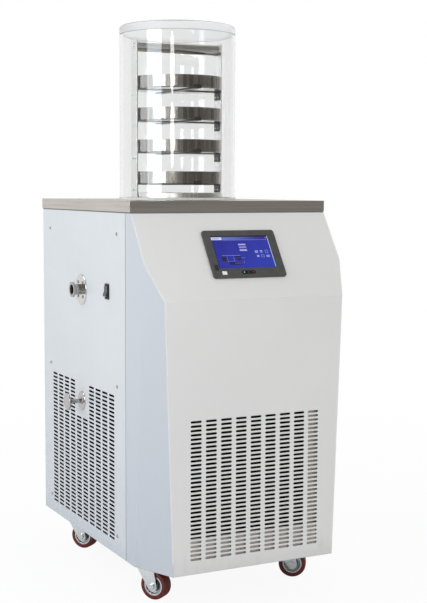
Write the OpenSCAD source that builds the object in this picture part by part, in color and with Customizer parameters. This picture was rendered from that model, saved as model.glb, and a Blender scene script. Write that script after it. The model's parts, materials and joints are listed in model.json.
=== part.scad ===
// Pilot freeze dryer on casters: a clear drying bell with a rack of four trays over a
// cold trap, on a sheet metal cabinet that holds the refrigeration. Millimetres, +Z up,
// -Y the front, -X the side with the vacuum port. The floor is z = 0.

/* [Cabinet] */
// Width of the worktop, left to right
top_w = 540; // [480:1:660]
// Depth of the worktop, front to back
top_d = 626; // [540:1:760]
// Height of the worktop's surface above the floor
top_h = 992; // [960:1:1200]
// Height of the worktop's folded edge
top_edge = 27; // [20:1:34]
// Thickness of the worktop's stainless sheet
top_t = 2; // [1:0.5:3]
// How far the worktop stands out past the cabinet's sides and back
top_overhang = 2; // [1:0.5:6]
// Thickness of the painted cabinet sheet
sheet_t = 1.5; // [1:0.5:2.5]
// Width of the flanges folded along the panels' upright edges
flange_w = 20; // [14:1:26]

/* [Front cover] */
// How far the front face stands out ahead of the worktop's front edge
front_reach = 137; // [110:1:165]
// Height of the sloping console, measured straight down
console_drop = 203; // [180:1:245]
// How far the front cover reaches back past the worktop's front edge
cover_lap = 32; // [26:1:45]
// Gap at the seam between the front cover and each side panel
seam_gap = 0.8; // [0.4:0.1:0.9]
// Inset of the corner facet at the foot of the console
facet_top = 27; // [16:1:34]
// Inset of the corner facet at the cabinet's bottom edge
facet_bottom = 48.5; // [36:0.5:54]
// Depth of the corner facet for each millimetre of its inset
facet_slope = 2.38; // [1.6:0.02:2.5]

/* [Grilles] */
// Height of each slot
slot_h = 5.5; // [3:0.1:6]
// Spacing of the slot rows
slot_pitch = 10.3; // [9:0.1:11]
// Length of a slot in the front grille
front_slot = 29; // [20:1:34]
// Spacing of the front grille's columns
front_col_pitch = 40.1; // [37:0.1:42]
// Least margin between the front grille and the front face's corners
front_margin = 40; // [34:1:60]
// Rows in the front grille
front_rows = 33; // [10:1:36]
// Length of a slot in the side grilles
side_slot = 35; // [24:1:40]
// Spacing of the side grilles' columns
side_col_pitch = 45.7; // [43:0.1:48]
// Least margin between a side grille and the panel's upright edges
side_margin = 70; // [56:1:100]
// Rows in each side grille
side_rows = 36; // [14:1:38]
// How far below the drain valve's axis the two middle columns stop
blank_drop = 40; // [32:1:70]
// Height of the lowest row above the cabinet's bottom edge
grille_foot = 36; // [30:1:60]
// Rows in the rear grille
rear_rows = 24; // [8:1:30]

/* [Frame] */
// Width of the square frame tubes
tube_w = 30; // [20:1:32]
// Wall of the square frame tubes
tube_t = 2; // [1.5:0.5:3]
// Thickness of the base plate
base_t = 3; // [2:0.5:5]
// How far the front posts' centres stand behind the worktop's front edge
front_post_in = 86; // [80:1:110]
// How far the rear posts' centres stand ahead of the worktop's rear edge
rear_post_in = 59; // [45:1:90]
// Distance of the upper panel screws below the worktop
screw_drop = 81; // [70:1:120]
// Height of the lowest panel screws above the cabinet's bottom edge
screw_foot = 48; // [40:1:90]

/* [Drying chamber] */
// Clearance between the rack's legs and the inside of the bell
bell_clear = 21.5; // [6:0.5:30]
// Wall of the bell's tube
bell_wall = 8; // [5:0.5:10]
// Clearance between the rack's handle bar and the bell's lid
bell_headroom = 19.5; // [10:0.5:60]
// Thickness of the bell's lid
lid_t = 22; // [15:1:30]
// Height of the flat gasket under the bell
gasket_h = 6; // [3:0.5:8]
// Width of the flat gasket under the bell
gasket_w = 14; // [10:0.5:16]
// How far the chamber's axis stands ahead of the worktop's centre
chamber_ahead = 5; // [0:1:30]

/* [Tray rack] */
// Diameter of each tray
tray_d = 238; // [200:1:240]
// Height of each tray's wall
tray_h = 33; // [20:1:40]
// Thickness of the trays' sheet
tray_t = 1; // [0.8:0.1:2]
// Spacing of the trays
tray_pitch = 82.7; // [70:0.1:86]
// Height of the lowest tray's floor above the worktop
tray_foot = 41; // [36:1:52]
// Height of the ring that the rack stands on
ring_h = 18; // [12:1:20]
// Wall of the rack's ring and straps
ring_t = 2; // [1.5:0.5:3]
// Clearance between a tray's wall and the rack's legs
tray_gap = 2.5; // [2.2:0.1:4]
// Width of each rack leg
leg_w = 38; // [28:1:44]
// Thickness of each rack leg
leg_t = 3; // [2:0.5:4]
// Height of the handle's axis above the top tray's rim
handle_rise = 77.4; // [50:0.1:120]
// Diameter of the handle bar
handle_d = 28; // [18:1:32]
// Width of the shelf straps under each tray
strap_w = 20; // [14:1:24]

/* [Cold trap] */
// How far the rack's ring stands outside the cold trap's mouth
ring_seat = 13.5; // [8:0.5:24]
// Depth of the cold trap below the worktop
trap_depth = 265; // [240:1:300]
// Wall of the cold trap
trap_wall = 2; // [1.5:0.5:3]
// Width of the flange at the trap's mouth
trap_flange = 17; // [12:1:20]
// Diameter of the evaporator tube wound round the trap
coil_tube = 9.5; // [8:0.5:12]
// Turns of the evaporator tube
coil_turns = 8; // [4:1:9]
// Spacing of the evaporator's turns
coil_pitch = 19; // [14:1:21]
// Thickness of the foam round and under the trap
foam_t = 30; // [20:1:34]

/* [Vacuum port] */
// Height of the port's axis below the worktop
port_drop = 234; // [225:1:240]
// Outer diameter of the port's tube
port_tube = 28; // [26:0.5:30]
// Bore of the port
port_bore = 25; // [20:0.5:25]
// Diameter of the clamp flange
port_flange = 40; // [38:0.5:44]
// How far the flange stands out from the side panel
port_reach = 27; // [22:1:45]
// Diameter of the polished mounting plate
plate_d = 80; // [66:1:90]
// Thickness of the polished mounting plate
plate_t = 2.5; // [1.5:0.5:4]
// Spacing of the plate's screws, front to back
plate_screw_y = 33; // [32:0.5:44]
// Spacing of the plate's screws, up and down
plate_screw_z = 38; // [34:0.5:44]

/* [Drain valve] */
// Height of the drain valve's axis below the worktop
drain_drop = 529; // [500:1:540]
// Diameter of the rosette
rosette_d = 51; // [40:1:60]
// Diameter of the valve's stem
stem_d = 11; // [8:0.5:14]
// Diameter of the knob's disc
knob_d = 46; // [34:1:56]
// Thickness of the knob's disc
knob_t = 5; // [3:0.5:8]
// How far the knob stands out from the side panel
knob_reach = 43; // [36:1:60]
// Outer diameter of the drain pipe
drain_tube = 12; // [10:0.5:14]

/* [Power switch] */
// Distance of the switch behind the worktop's front edge
switch_in = 147; // [135:1:170]
// Height of the switch's centre below the worktop
switch_drop = 226; // [180:1:260]
// Width of the switch's bezel
switch_w = 25; // [23:0.5:30]
// Height of the switch's bezel
switch_h = 39; // [36:0.5:46]
// Angle of the rocker at rest from level
rocker_tilt = 10; // [6:1:12]

/* [Touch panel] */
// Width of the touch panel's bezel
hmi_w = 198; // [180:1:210]
// Height of the touch panel's bezel, along the slope
hmi_h = 132; // [116:1:140]
// Thickness of the bezel where it lies on the console
hmi_t = 5; // [4:0.5:7]
// Corner radius of the bezel
hmi_r = 7; // [4:1:12]
// Distance from the console's top edge down to the bezel's centre
hmi_down = 122.5; // [112:0.5:130]
// Width of the visible screen
lcd_w = 158; // [140:1:160]
// Height of the visible screen
lcd_h = 91; // [80:1:96]
// How far the screen sits above the bezel's centre, along the slope
lcd_up = 5; // [0:0.5:8]
// Depth of the housing behind the console
hmi_depth = 34; // [24:1:40]

/* [Refrigeration] */
// Diameter of the compressor's can
comp_d = 176; // [150:1:190]
// Height of the compressor's can
comp_h = 270; // [230:1:300]
// Clearance between the condenser's ends and the front face's corners
cond_margin = 36.5; // [30:0.5:60]
// Height of the condenser
cond_h = 330; // [290:1:350]
// Depth of the condenser
cond_t = 44; // [30:1:50]
// Diameter of the fan
fan_d = 270; // [220:1:280]
// Blades on the fan
fan_blades = 5; // [3:1:7]
// Pitch angle of the fan's blades
blade_pitch = 28; // [15:1:35]

/* [Casters] */
// Overall height of a caster, and so of the base plate's underside
caster_h = 112; // [106:1:130]
// Diameter of the wheels
wheel_d = 72; // [60:1:75]
// Width of the tyres
tyre_w = 32; // [24:1:34]
// Diameter of the hubs, where the tyres are bonded on
hub_d = 50; // [44:1:54]
// Distance of each wheel's axle from its swivel axis
trail = 26; // [20:1:30]
// Diameter of the axle bolts
axle_d = 8; // [6:1:10]
// Clearance between the caster bolts' nuts and the frame rails
caster_gap = 2.5; // [1:0.5:12]
// How far the swivel axes stand in from the worktop's front and rear edges
caster_in_y = 67; // [60:1:110]
// How far each caster is turned: front left, front right, rear left, rear right
caster_turn = [54, 33, 52, 40];

/* [Hidden] */
$fn = 48;

// Small fits: face to face parts have none, running parts have run_fit on the radius.
run_fit = 0.05;
slip_fit = 0.3;
weld_gap = 0.2;
big = 2000;
screw_d = 4;
screw_head = 2.4;

// The caster plates' hole pattern and its bolts, which the frame's rails stay clear of.
plate_x = 60;
plate_y = 45;
bolt_d = 8;
nut_af = 13;
nut_r = nut_af / 2 / cos(30);

// Cabinet faces, worked out from the driving sizes.
side_x = top_w / 2 - top_overhang;
inner_x = side_x - sheet_t;
rear_y = top_d / 2 - top_overhang;
top_front = -top_d / 2;
seam_y = top_front + cover_lap;
front_y = top_front - front_reach;
panel_top = top_h - top_edge;
panel_foot = caster_h - 1;
console_foot = panel_top - console_drop;
console_tilt = 90 - atan2(front_reach, console_drop);
side_mid = (seam_y + rear_y) / 2;
base_top = caster_h + base_t;
rail_top = base_top + tube_w;
roof_z = top_h - top_t - tube_w;
facet_rate = (facet_bottom - facet_top) / (console_foot - panel_foot);
post_x = inner_x - tube_w / 2;
post_y = [top_front + front_post_in, top_d / 2 - rear_post_in];
screw_step = (top_h - screw_drop - panel_foot - screw_foot) / 2;
screw_z = [for (i = [0:2]) panel_foot + screw_foot + i * screw_step];
front_flat = 2 * (side_x - facet_bottom);
front_cols = floor((front_flat - 2 * front_margin - front_slot) / front_col_pitch) + 1;
side_run = rear_y - seam_y - 2 * side_margin - side_slot;
side_cols = 2 * floor((side_run / side_col_pitch + 1) / 2);
caster_x = inner_x - tube_w - caster_gap - nut_r - plate_x / 2;
caster_y = top_d / 2 - caster_in_y;
rail_y = caster_y - plate_y / 2 - nut_r - caster_gap - tube_w / 2;
chamber_y = -chamber_ahead;
leg_x = tray_d / 2 + tray_gap;
handle_up = tray_foot + 3 * tray_pitch + tray_h + handle_rise;
bell_d = 2 * (leg_x + leg_t + bell_clear + bell_wall);
bell_h = handle_up + handle_d / 2 + bell_headroom + lid_t;
trap_d = 2 * (leg_x - ring_t - ring_seat);
cond_w = front_flat - 2 * cond_margin;
port_z = top_h - port_drop;
drain_z = top_h - drain_drop;
gland_z = panel_foot + 210;
gland_d = 24;
gland_reach = 26;
cord_bore = 10;
gland_x = -side_x + 48;

// The row's origin is under the middle of everything, so the part is shifted to it.
left_reach = side_x + max(knob_reach, port_reach);
shift_x = (left_reach - max(top_w / 2, side_x + screw_head)) / 2;
shift_y = -(front_y + max(rear_y + gland_reach, top_d / 2)) / 2;

painted = [0.86, 0.87, 0.87];
stainless = [0.62, 0.61, 0.59];
polished = [0.82, 0.82, 0.81];
zinc = [0.8, 0.82, 0.84];
copper = [0.72, 0.42, 0.26];
black = [0.1, 0.1, 0.11];

// ---------------------------------------------------------------- helpers

// Everything is modelled about the worktop's centre, then moved to the row's origin.
module placed() {
  translate([shift_x, shift_y, 0]) children();
}

// The points of an arc about (x, y), from one angle to another.
function arc(x, y, r, from, to, steps = 6) =
  [for (i = [0:steps]) let (a = from + (to - from) * i / steps)
    [x + r * cos(a), y + r * sin(a)]];

// A rectangle about the origin with round corners.
function round_rect(w, h, r, steps = 6) = concat(
  arc(w / 2 - r, h / 2 - r, r, 0, 90, steps), arc(r - w / 2, h / 2 - r, r, 90, 180, steps),
  arc(r - w / 2, r - h / 2, r, 180, 270, steps), arc(w / 2 - r, r - h / 2, r, 270, 360, steps));

// A block beyond the plane through p, on the side that n points to.
module beyond_plane(p, n) {
  translate(p)
    rotate([0, -asin(n[2] / norm(n)), atan2(n[1], n[0])])
      translate([0, -big / 2, -big / 2]) cube(big);
}

module along_x(x, y, z) { translate([x, y, z]) rotate([0, 90, 0]) children(); }
module along_y(x, y, z) { translate([x, y, z]) rotate([-90, 0, 0]) children(); }

// A hexagonal prism, given across its flats.
module hex(across, h) { cylinder(d = across / cos(30), h = h, $fn = 6); }

// A tube of flat facets swept along points, with its frame carried from ring to ring.
function unit(v) = v / norm(v);
function headings(p) = [for (i = [0:len(p) - 1])
  unit(unit(p[min(i + 1, len(p) - 1)] - p[min(i, len(p) - 2)])
    + unit(p[max(i, 1)] - p[max(i - 1, 0)]))];
function carried(h, i = 0, v = undef, out = []) =
  i == len(h) ? out :
  let (seed = is_undef(v) ? (abs(h[0][2]) < 0.9 ? [0, 0, 1] : [1, 0, 0]) : v)
  let (w = unit(seed - (seed * h[i]) * h[i]))
  carried(h, i + 1, w, concat(out, [w]));

module swept_tube(path, d, sides = 8) {
  h = headings(path);
  u = carried(h);
  n = len(path);
  points = [for (i = [0:n - 1], k = [0:sides - 1]) let (a = 360 * k / sides)
    path[i] + d / 2 * (cos(a) * u[i] + sin(a) * cross(h[i], u[i]))];
  walls = [for (i = [0:n - 2], k = [0:sides - 1]) let (j = (k + 1) % sides)
    [i * sides + k, (i + 1) * sides + k, (i + 1) * sides + j, i * sides + j]];
  first = [for (k = [0:sides - 1]) k];
  last = [for (k = [0:sides - 1]) n * sides - 1 - k];
  polyhedron(points, concat([first], walls, [last]));
}

// A route with its corners rounded to radius r.
function rounded(p, r, steps = 4) = concat([p[0]],
  [for (i = [1:len(p) - 2]) let (
      a = unit(p[i - 1] - p[i]), b = unit(p[i + 1] - p[i]),
      half = acos(a * b) / 2, back = r / tan(half), mid = p[i] + unit(a + b) * r / sin(half),
      from = p[i] + a * back - mid, to = p[i] + b * back - mid, turn = 180 - 2 * half)
    for (k = [0:steps]) let (t = turn * k / steps)
      mid + (sin(turn - t) * from + sin(t) * to) / sin(turn)],
  [p[len(p) - 1]]);

// A slot lying along X, cut through in Y, with round ends.
module slot_cut(l, h, depth) {
  rotate([90, 0, 0]) linear_extrude(depth, center = true) {
    square([l - h, h], center = true);
    for (s = [-1, 1]) translate([s * (l - h) / 2, 0]) circle(d = h);
  }
}

// A square tube lying along Z.
module square_tube(l) {
  difference() {
    translate([-tube_w / 2, -tube_w / 2, 0]) cube([tube_w, tube_w, l]);
    translate([tube_t - tube_w / 2, tube_t - tube_w / 2, -1])
      cube([tube_w - 2 * tube_t, tube_w - 2 * tube_t, l + 2]);
  }
}

// ---------------------------------------------------------------- frame

// The corner's inset at the cabinet's foot, for a plan drawn c inside the outer faces.
function foot_inset(c) =
  facet_bottom + c * (sqrt(1 + 1 / pow(facet_slope, 2)) - 1 - 1 / facet_slope);

module base_plate() {
  c = sheet_t + 0.5;
  i = foot_inset(c);
  x = side_x - c;
  y = front_y + c;
  color(painted) placed() difference() {
    translate([0, 0, caster_h]) linear_extrude(base_t)
      polygon([[x, rear_y - c], [x, y + facet_slope * i], [x - i, y],
               [i - x, y], [-x, y + facet_slope * i], [-x, rear_y - c]]);
    each_caster_bolt() translate([0, 0, -9]) cylinder(d = bolt_hole, h = 20);
  }
}

module frame_rails() {
  l = rear_y - seam_y - 4 * sheet_t - 1;
  color(painted) placed() for (s = [-1, 1]) {
    along_y(s * post_x, side_mid - l / 2, base_top + tube_w / 2) square_tube(l);
    along_y(s * post_x, side_mid - l / 2, roof_z + tube_w / 2) square_tube(l);
    for (p = [[s * rail_y, base_top], [post_y[s > 0 ? 1 : 0], roof_z]])
      along_x(weld_gap - post_x + tube_w / 2, p[0], p[1] + tube_w / 2)
        square_tube(2 * post_x - tube_w - 2 * weld_gap);
  }
}

module corner_posts() {
  color(painted) placed() for (s = [-1, 1], y = post_y) difference() {
    translate([s * post_x, y, rail_top]) square_tube(roof_z - rail_top);
    for (z = screw_z) along_x(s * inner_x - 5, y, z) cylinder(d = screw_d + 0.2, h = 10);
  }
}

// ---------------------------------------------------------------- cabinet sheets

// The slots of one side grille, on the plane x = 0, with the middle columns cut short.
module side_slots(blank) {
  for (c = [0:side_cols - 1], r = [0:side_rows - 1]) {
    z = panel_foot + grille_foot + r * slot_pitch;
    middle = abs(c - (side_cols - 1) / 2) < 1;
    if (!middle || !blank || z < drain_z - blank_drop)
      translate([0, side_mid + (c - (side_cols - 1) / 2) * side_col_pitch, z])
        rotate([0, 0, 90]) slot_cut(side_slot, slot_h, 3 * sheet_t);
  }
}

// A side panel: a flat sheet with a flange folded in along each upright edge.
module side_panel(s) {
  difference() {
    union() {
      translate([min(s * side_x, s * inner_x), seam_y, panel_foot])
        cube([sheet_t, rear_y - seam_y, panel_top - panel_foot]);
      for (y = [seam_y, rear_y - 2 * sheet_t])
        translate([s > 0 ? inner_x - flange_w : -inner_x, y, base_top + 1])
          cube([flange_w, sheet_t, roof_z - base_top - 2]);
    }
    translate([s * (side_x - sheet_t / 2), 0, 0]) side_slots(s < 0);
    for (y = post_y, z = screw_z)
      along_x(s * inner_x - 5, y, z) cylinder(d = screw_d + 0.5, h = 10);
    for (z = screw_z)
      along_y(s * rear_screw_x, rear_y - 5, z) cylinder(d = screw_d + 0.5, h = 10);
  }
}

module left_side_panel() {
  color(painted) placed() difference() {
    side_panel(-1);
    along_x(-side_x - 5, side_mid, port_z) cylinder(d = port_tube + 2, h = 10);
    along_x(-side_x - 5, side_mid, drain_z) cylinder(d = stem_d + 3, h = 10);
    each_plate_screw() translate([0, 0, -5]) cylinder(d = screw_d + 0.5, h = 10);
    translate([-side_x, switch_y, switch_z])
      cube([10, rocker_box_w + 0.4, rocker_box_h + 0.4], center = true);
  }
}

module right_side_panel() {
  color(painted) placed() side_panel(1);
}

module rear_panel() {
  w = 2 * (inner_x - 0.2);
  color(painted) placed() difference() {
    translate([-w / 2, rear_y - sheet_t, panel_foot])
      cube([w, sheet_t, panel_top - panel_foot]);
    for (c = [0:front_cols - 1], r = [0:rear_rows - 1])
      translate([(c - (front_cols - 1) / 2) * front_col_pitch, rear_y - sheet_t / 2,
                 panel_foot + grille_foot + r * slot_pitch])
        slot_cut(front_slot, slot_h, 3 * sheet_t);
    for (s = [-1, 1], z = screw_z)
      along_y(s * rear_screw_x, rear_y - 5, z) cylinder(d = screw_d + 0.5, h = 10);
    along_y(gland_x, rear_y - 5, gland_z) cylinder(d = gland_d * 0.66 + 0.4, h = 10);
  }
}
rear_screw_x = inner_x - flange_w / 2;

// The solid form of the front cover, c inside its outer faces.
module cover_form(c) {
  hw = side_x - c;
  slope = console_drop / front_reach;
  back = c * sqrt(1 + 1 / pow(slope, 2));
  lean = c * (sqrt(1 + pow(slope, 2)) - slope);
  lift = sqrt(1 + 1 / pow(facet_slope, 2) + pow(facet_rate, 2));
  difference() {
    translate([-hw, 0, 0]) rotate([90, 0, 90]) linear_extrude(2 * hw)
      polygon([[seam_y - seam_gap + c, panel_foot - c], [front_y + c, panel_foot - c],
               [front_y + c, console_foot - lean], [top_front + back, panel_top],
               [top_front + back, panel_top + c], [seam_y - seam_gap + c, panel_top + c]]);
    for (s = [-1, 1])
      beyond_plane([s * (side_x - facet_top - c * lift), front_y, console_foot],
                   [s, -1 / facet_slope, -facet_rate]);
  }
}

module front_cover() {
  color(painted) placed() difference() {
    union() {
      difference() {
        cover_form(0);
        cover_form(sheet_t);
      }
      for (s = [0, 1]) mirror([s, 0, 0])
        translate([inner_x - flange_w, seam_y - seam_gap - sheet_t, base_top + 1])
          cube([flange_w + sheet_t / 2, sheet_t, panel_top - base_top - 2]);
    }
    for (c = [0:front_cols - 1], r = [0:front_rows - 1])
      translate([(c - (front_cols - 1) / 2) * front_col_pitch, front_y + sheet_t / 2,
                 panel_foot + grille_foot + r * slot_pitch])
        slot_cut(front_slot, slot_h, 3 * sheet_t);
    on_console() cube([hmi_box_w + 1, hmi_box_h + 1, 20], center = true);
  }
}

module worktop() {
  color(stainless) placed() difference() {
    translate([-top_w / 2, -top_d / 2, panel_top]) cube([top_w, top_d, top_edge]);
    translate([top_t - top_w / 2, top_t - top_d / 2, panel_top - top_t])
      cube([top_w - 2 * top_t, top_d - 2 * top_t, top_edge]);
    translate([0, chamber_y, panel_top]) cylinder(d = trap_d, h = 2 * top_edge, $fn = 96);
  }
}

// A pan-head screw with its head above z = 0 and its shank below.
module pan_screw(grip) {
  rotate_extrude() polygon(concat([[0, -grip], [screw_d / 2, -grip], [screw_d / 2, 0]],
    [[screw_d, 0]], arc(screw_d - screw_head / 2, screw_head / 2, screw_head / 2, 0, 90, 4),
    [[0, screw_head]]));
}

module each_plate_screw() {
  for (y = [-1, 1], z = [-1, 1])
    along_x(-side_x, side_mid + y * plate_screw_y / 2, port_z + z * plate_screw_z / 2)
      children();
}

module panel_screws() {
  color(zinc) placed() {
    for (y = post_y, z = screw_z) {
      along_x(-side_x, y, z) rotate([180, 0, 0]) pan_screw(8);
      along_x(side_x, y, z) pan_screw(8);
    }
    for (s = [-1, 1], z = screw_z) along_y(s * rear_screw_x, rear_y, z) pan_screw(6);
    each_plate_screw() translate([0, 0, -plate_t]) rotate([180, 0, 0]) pan_screw(plate_t + 4);
  }
}

// ---------------------------------------------------------------- drying chamber

module at_chamber(up = 0) { translate([0, chamber_y, top_h + up]) children(); }

module bell_gasket() {
  color([0.93, 0.93, 0.9]) placed() at_chamber() difference() {
    cylinder(d = bell_d + 4, h = gasket_h, $fn = 96);
    translate([0, 0, -1]) cylinder(d = bell_d + 4 - 2 * gasket_w, h = gasket_h + 2, $fn = 96);
  }
}

module bell_tube() {
  h = bell_h - lid_t - gasket_h;
  color([0.9, 0.93, 0.95, 0.35]) placed() at_chamber(gasket_h) difference() {
    cylinder(d = bell_d, h = h, $fn = 96);
    translate([0, 0, -1]) cylinder(d = bell_d - 2 * bell_wall, h = h + 2, $fn = 96);
  }
}

module bell_lid() {
  r = bell_d / 2;
  e = lid_t / 4;
  color([0.9, 0.93, 0.95, 0.35]) placed() at_chamber(bell_h - lid_t)
    rotate_extrude($fn = 96)
      polygon(concat([[0, 0], [r, 0]], arc(r - e, lid_t - e, e, 0, 90, 5), [[0, lid_t]]));
}

// ---------------------------------------------------------------- tray rack

module rack_base_ring() {
  color(stainless) placed() at_chamber() difference() {
    cylinder(r = leg_x, h = ring_h, $fn = 96);
    translate([0, 0, -1]) cylinder(r = leg_x - ring_t, h = ring_h + 2, $fn = 96);
  }
}

// Three screws hold each end of the handle, at these angles round its axis.
module each_handle_screw(x) {
  for (a = [90, 210, 330])
    along_x(x, handle_d * 0.27 * cos(a), handle_up + handle_d * 0.27 * sin(a)) children();
}

module rack_legs() {
  top = handle_up + handle_d * 0.6;
  color(polished) placed() at_chamber() for (s = [-1, 1]) difference() {
    translate([s > 0 ? leg_x : -leg_x - leg_t, 0, 0]) rotate([90, 0, 90])
      linear_extrude(leg_t)
        polygon(concat([[-leg_w / 2, 0], [leg_w / 2, 0]],
                       arc(leg_w / 2 - 8, top - 8, 8, 0, 90, 5),
                       arc(8 - leg_w / 2, top - 8, 8, 90, 180, 5)));
    each_handle_screw(s * leg_x - 5) cylinder(d = screw_d + 0.3, h = 10);
    for (i = [0:3], y = [-1, 1])
      along_x(s * leg_x - 5, y * tab_hole_y, shelf_z(i) - tab_h * 0.6)
        cylinder(d = screw_d + 0.3, h = 10);
  }
}

module rack_handle() {
  color(stainless) placed() at_chamber() difference() {
    along_x(-leg_x, 0, handle_up) cylinder(d = handle_d, h = 2 * leg_x);
    each_handle_screw(-leg_x - 1) cylinder(d = screw_d + 0.3, h = 12);
    each_handle_screw(leg_x - 11) cylinder(d = screw_d + 0.3, h = 12);
  }
}

module rack_screws() {
  color(zinc) placed() at_chamber() {
    each_handle_screw(leg_x + leg_t) pan_screw(leg_t + 8);
    each_handle_screw(-leg_x - leg_t) rotate([180, 0, 0]) pan_screw(leg_t + 8);
    for (i = [0:3], y = [-1, 1]) {
      along_x(leg_x + leg_t, y * tab_hole_y, shelf_z(i) - tab_h * 0.6)
        pan_screw(leg_t + ring_t);
      along_x(-leg_x - leg_t, y * tab_hole_y, shelf_z(i) - tab_h * 0.6)
        rotate([180, 0, 0]) pan_screw(leg_t + ring_t);
    }
  }
}

// Underside of the shelf straps below tray i, above the worktop.
function shelf_z(i) = tray_foot - ring_t + i * tray_pitch;
tab_h = 20;
tab_w = 30;
tab_hole_y = 7;
lip_h = 8;

module shelf_supports() {
  reach = tray_d / 2 + slip_fit;
  color(polished) placed() at_chamber() for (i = [0:3]) translate([0, 0, shelf_z(i)])
    difference() {
      union() {
        translate([-leg_x, -strap_w / 2, 0]) cube([2 * leg_x, strap_w, ring_t]);
        translate([-strap_w / 2, -reach - ring_t, 0])
          cube([strap_w, 2 * (reach + ring_t), ring_t]);
        for (s = [0, 1]) {
          mirror([0, s, 0]) translate([-strap_w / 2, reach, 0])
            cube([strap_w, ring_t, ring_t + lip_h]);
          mirror([s, 0, 0]) translate([leg_x - ring_t, -tab_w / 2, -tab_h])
            cube([ring_t, tab_w, tab_h + ring_t]);
        }
      }
      for (x = [-leg_x - 5, leg_x - 5], y = [-1, 1])
        along_x(x, y * tab_hole_y, -tab_h * 0.6) cylinder(d = screw_d + 0.3, h = 10);
    }
}

module tray(i) {
  bead = tray_t;
  color(stainless) placed() at_chamber(shelf_z(i - 1) + ring_t) rotate_extrude($fn = 96)
    polygon(concat([[0, 0], [tray_d / 2 - 3, 0]],
      arc(tray_d / 2 - 3, 3, 3, -90, 0, 4), [[tray_d / 2, tray_h]],
      [[tray_d / 2 - 2 * bead, tray_h], [tray_d / 2 - 2 * bead, tray_h - bead],
       [tray_d / 2 - tray_t, tray_h - bead]],
      arc(tray_d / 2 - 3, 3, 3 - tray_t, 0, -90, 4), [[0, tray_t]]));
}

// ---------------------------------------------------------------- cold trap

trap_r = trap_d / 2;
trap_foot = top_h - trap_depth;
coil_r = trap_r + trap_wall + coil_tube / 2;
coil_span = coil_turns * coil_pitch;
coil_top = top_h - top_t - trap_wall - 20;
coil_sides = 20;
helix_r = coil_r / cos(180 / coil_sides);
foam_r = helix_r + coil_tube / 2 + foam_t;
tail_y = foam_r + 4;

module cold_trap_vessel() {
  rim = top_h - top_t;
  color(polished) placed() difference() {
    translate([0, chamber_y, 0]) rotate_extrude($fn = 96)
      polygon([[0, trap_foot], [trap_r + trap_wall, trap_foot],
               [trap_r + trap_wall, rim - trap_wall],
               [trap_r + trap_flange, rim - trap_wall], [trap_r + trap_flange, rim],
               [trap_r, rim], [trap_r, trap_foot + trap_wall], [0, trap_foot + trap_wall]]);
    along_x(-trap_r - 20, side_mid, port_z) cylinder(d = port_bore, h = 40);
    translate([0, side_mid, trap_foot - 1]) cylinder(d = drain_tube - 2, h = trap_wall + 2);
  }
}

module trap_insulation() {
  roof = top_h - top_t - trap_wall;
  color([0.9, 0.86, 0.68]) placed() difference() {
    translate([0, chamber_y, trap_foot - foam_t])
      cylinder(r = foam_r, h = roof - trap_foot + foam_t);
    translate([0, chamber_y, trap_foot]) cylinder(r = foam_r - foam_t + 0.5, h = trap_depth);
    along_x(-big / 2, side_mid, port_z) cylinder(d = port_tube + 1, h = big / 2);
    translate([0, side_mid, 0]) cylinder(d = drain_tube + 1, h = trap_foot + 5);
    for (p = [[1, coil_top], [-1, coil_top - coil_span + coil_pitch / 2]])
      along_y(p[0] * helix_r, chamber_y, p[1]) cylinder(d = coil_tube + 1.5, h = big / 4);
  }
}

// The evaporator: a tail in from the rear, turns down the trap's wall, and a tail out.
module evaporator_coil() {
  turns = coil_turns - 0.5;
  steps = turns * coil_sides;
  path = concat([[helix_r, tail_y, coil_top]],
    [for (i = [0:steps]) let (a = -360 * i / coil_sides)
      [helix_r * cos(a), helix_r * sin(a), coil_top - turns * coil_pitch * i / steps]],
    [[-helix_r, tail_y, coil_top - turns * coil_pitch]]);
  color(copper) placed() translate([0, chamber_y, 0]) swept_tube(path, coil_tube);
}

valve_in = 42;
drain_bend = 24;

module drain_run(d, over) {
  drop = trap_foot - drain_z - drain_bend;
  translate([0, side_mid, trap_foot - drop]) cylinder(d = d, h = drop + over);
  translate([-drain_bend, side_mid, drain_z + drain_bend]) rotate([90, 90, 0])
    rotate_extrude(angle = 90) translate([drain_bend, 0]) circle(d = d);
  along_x(-inner_x + valve_in - over, side_mid, drain_z)
    cylinder(d = d, h = inner_x - valve_in - drain_bend + over);
}

module drain_pipe() {
  color(stainless) placed() difference() {
    drain_run(drain_tube, 0);
    drain_run(drain_tube - 2, 1);
  }
}

// ---------------------------------------------------------------- vacuum port

module vacuum_port() {
  reach = side_x + port_reach;
  r = port_tube / 2;
  f = port_flange / 2;
  color(polished) placed() difference() {
    along_x(0, side_mid, port_z) mirror([0, 0, 1]) rotate_extrude()
      polygon([[port_bore / 2, 60], [r, 60], [r, reach - 8], [f, reach - 4.5], [f, reach],
               [r - 0.9, reach], [r - 0.9, reach - 3], [port_bore / 2, reach - 3]]);
    translate([0, chamber_y, trap_foot - 1])
      cylinder(r = trap_r + trap_wall, h = trap_depth + 2, $fn = 96);
  }
}

module port_plate() {
  r = plate_d / 2;
  color(polished) placed() difference() {
    along_x(-side_x, side_mid, port_z) mirror([0, 0, 1]) rotate_extrude($fn = 96)
      polygon([[port_tube / 2 + run_fit, 0], [r, 0], [r, plate_t - 0.8], [r - 0.8, plate_t],
               [port_tube / 2 + run_fit, plate_t]]);
    each_plate_screw() translate([0, 0, -10]) cylinder(d = screw_d + 0.3, h = 20);
  }
}

// ---------------------------------------------------------------- drain valve

module drain_valve_body() {
  color([0.75, 0.6, 0.32]) placed() along_x(-inner_x, side_mid, drain_z) difference() {
    union() {
      hex(27, 12);
      cylinder(d = 22, h = valve_in);
    }
    translate([0, 0, -1]) cylinder(d = stem_d + 2 * run_fit, h = 27);
    cylinder(d = drain_tube - 2, h = valve_in + 1);
  }
}

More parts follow.
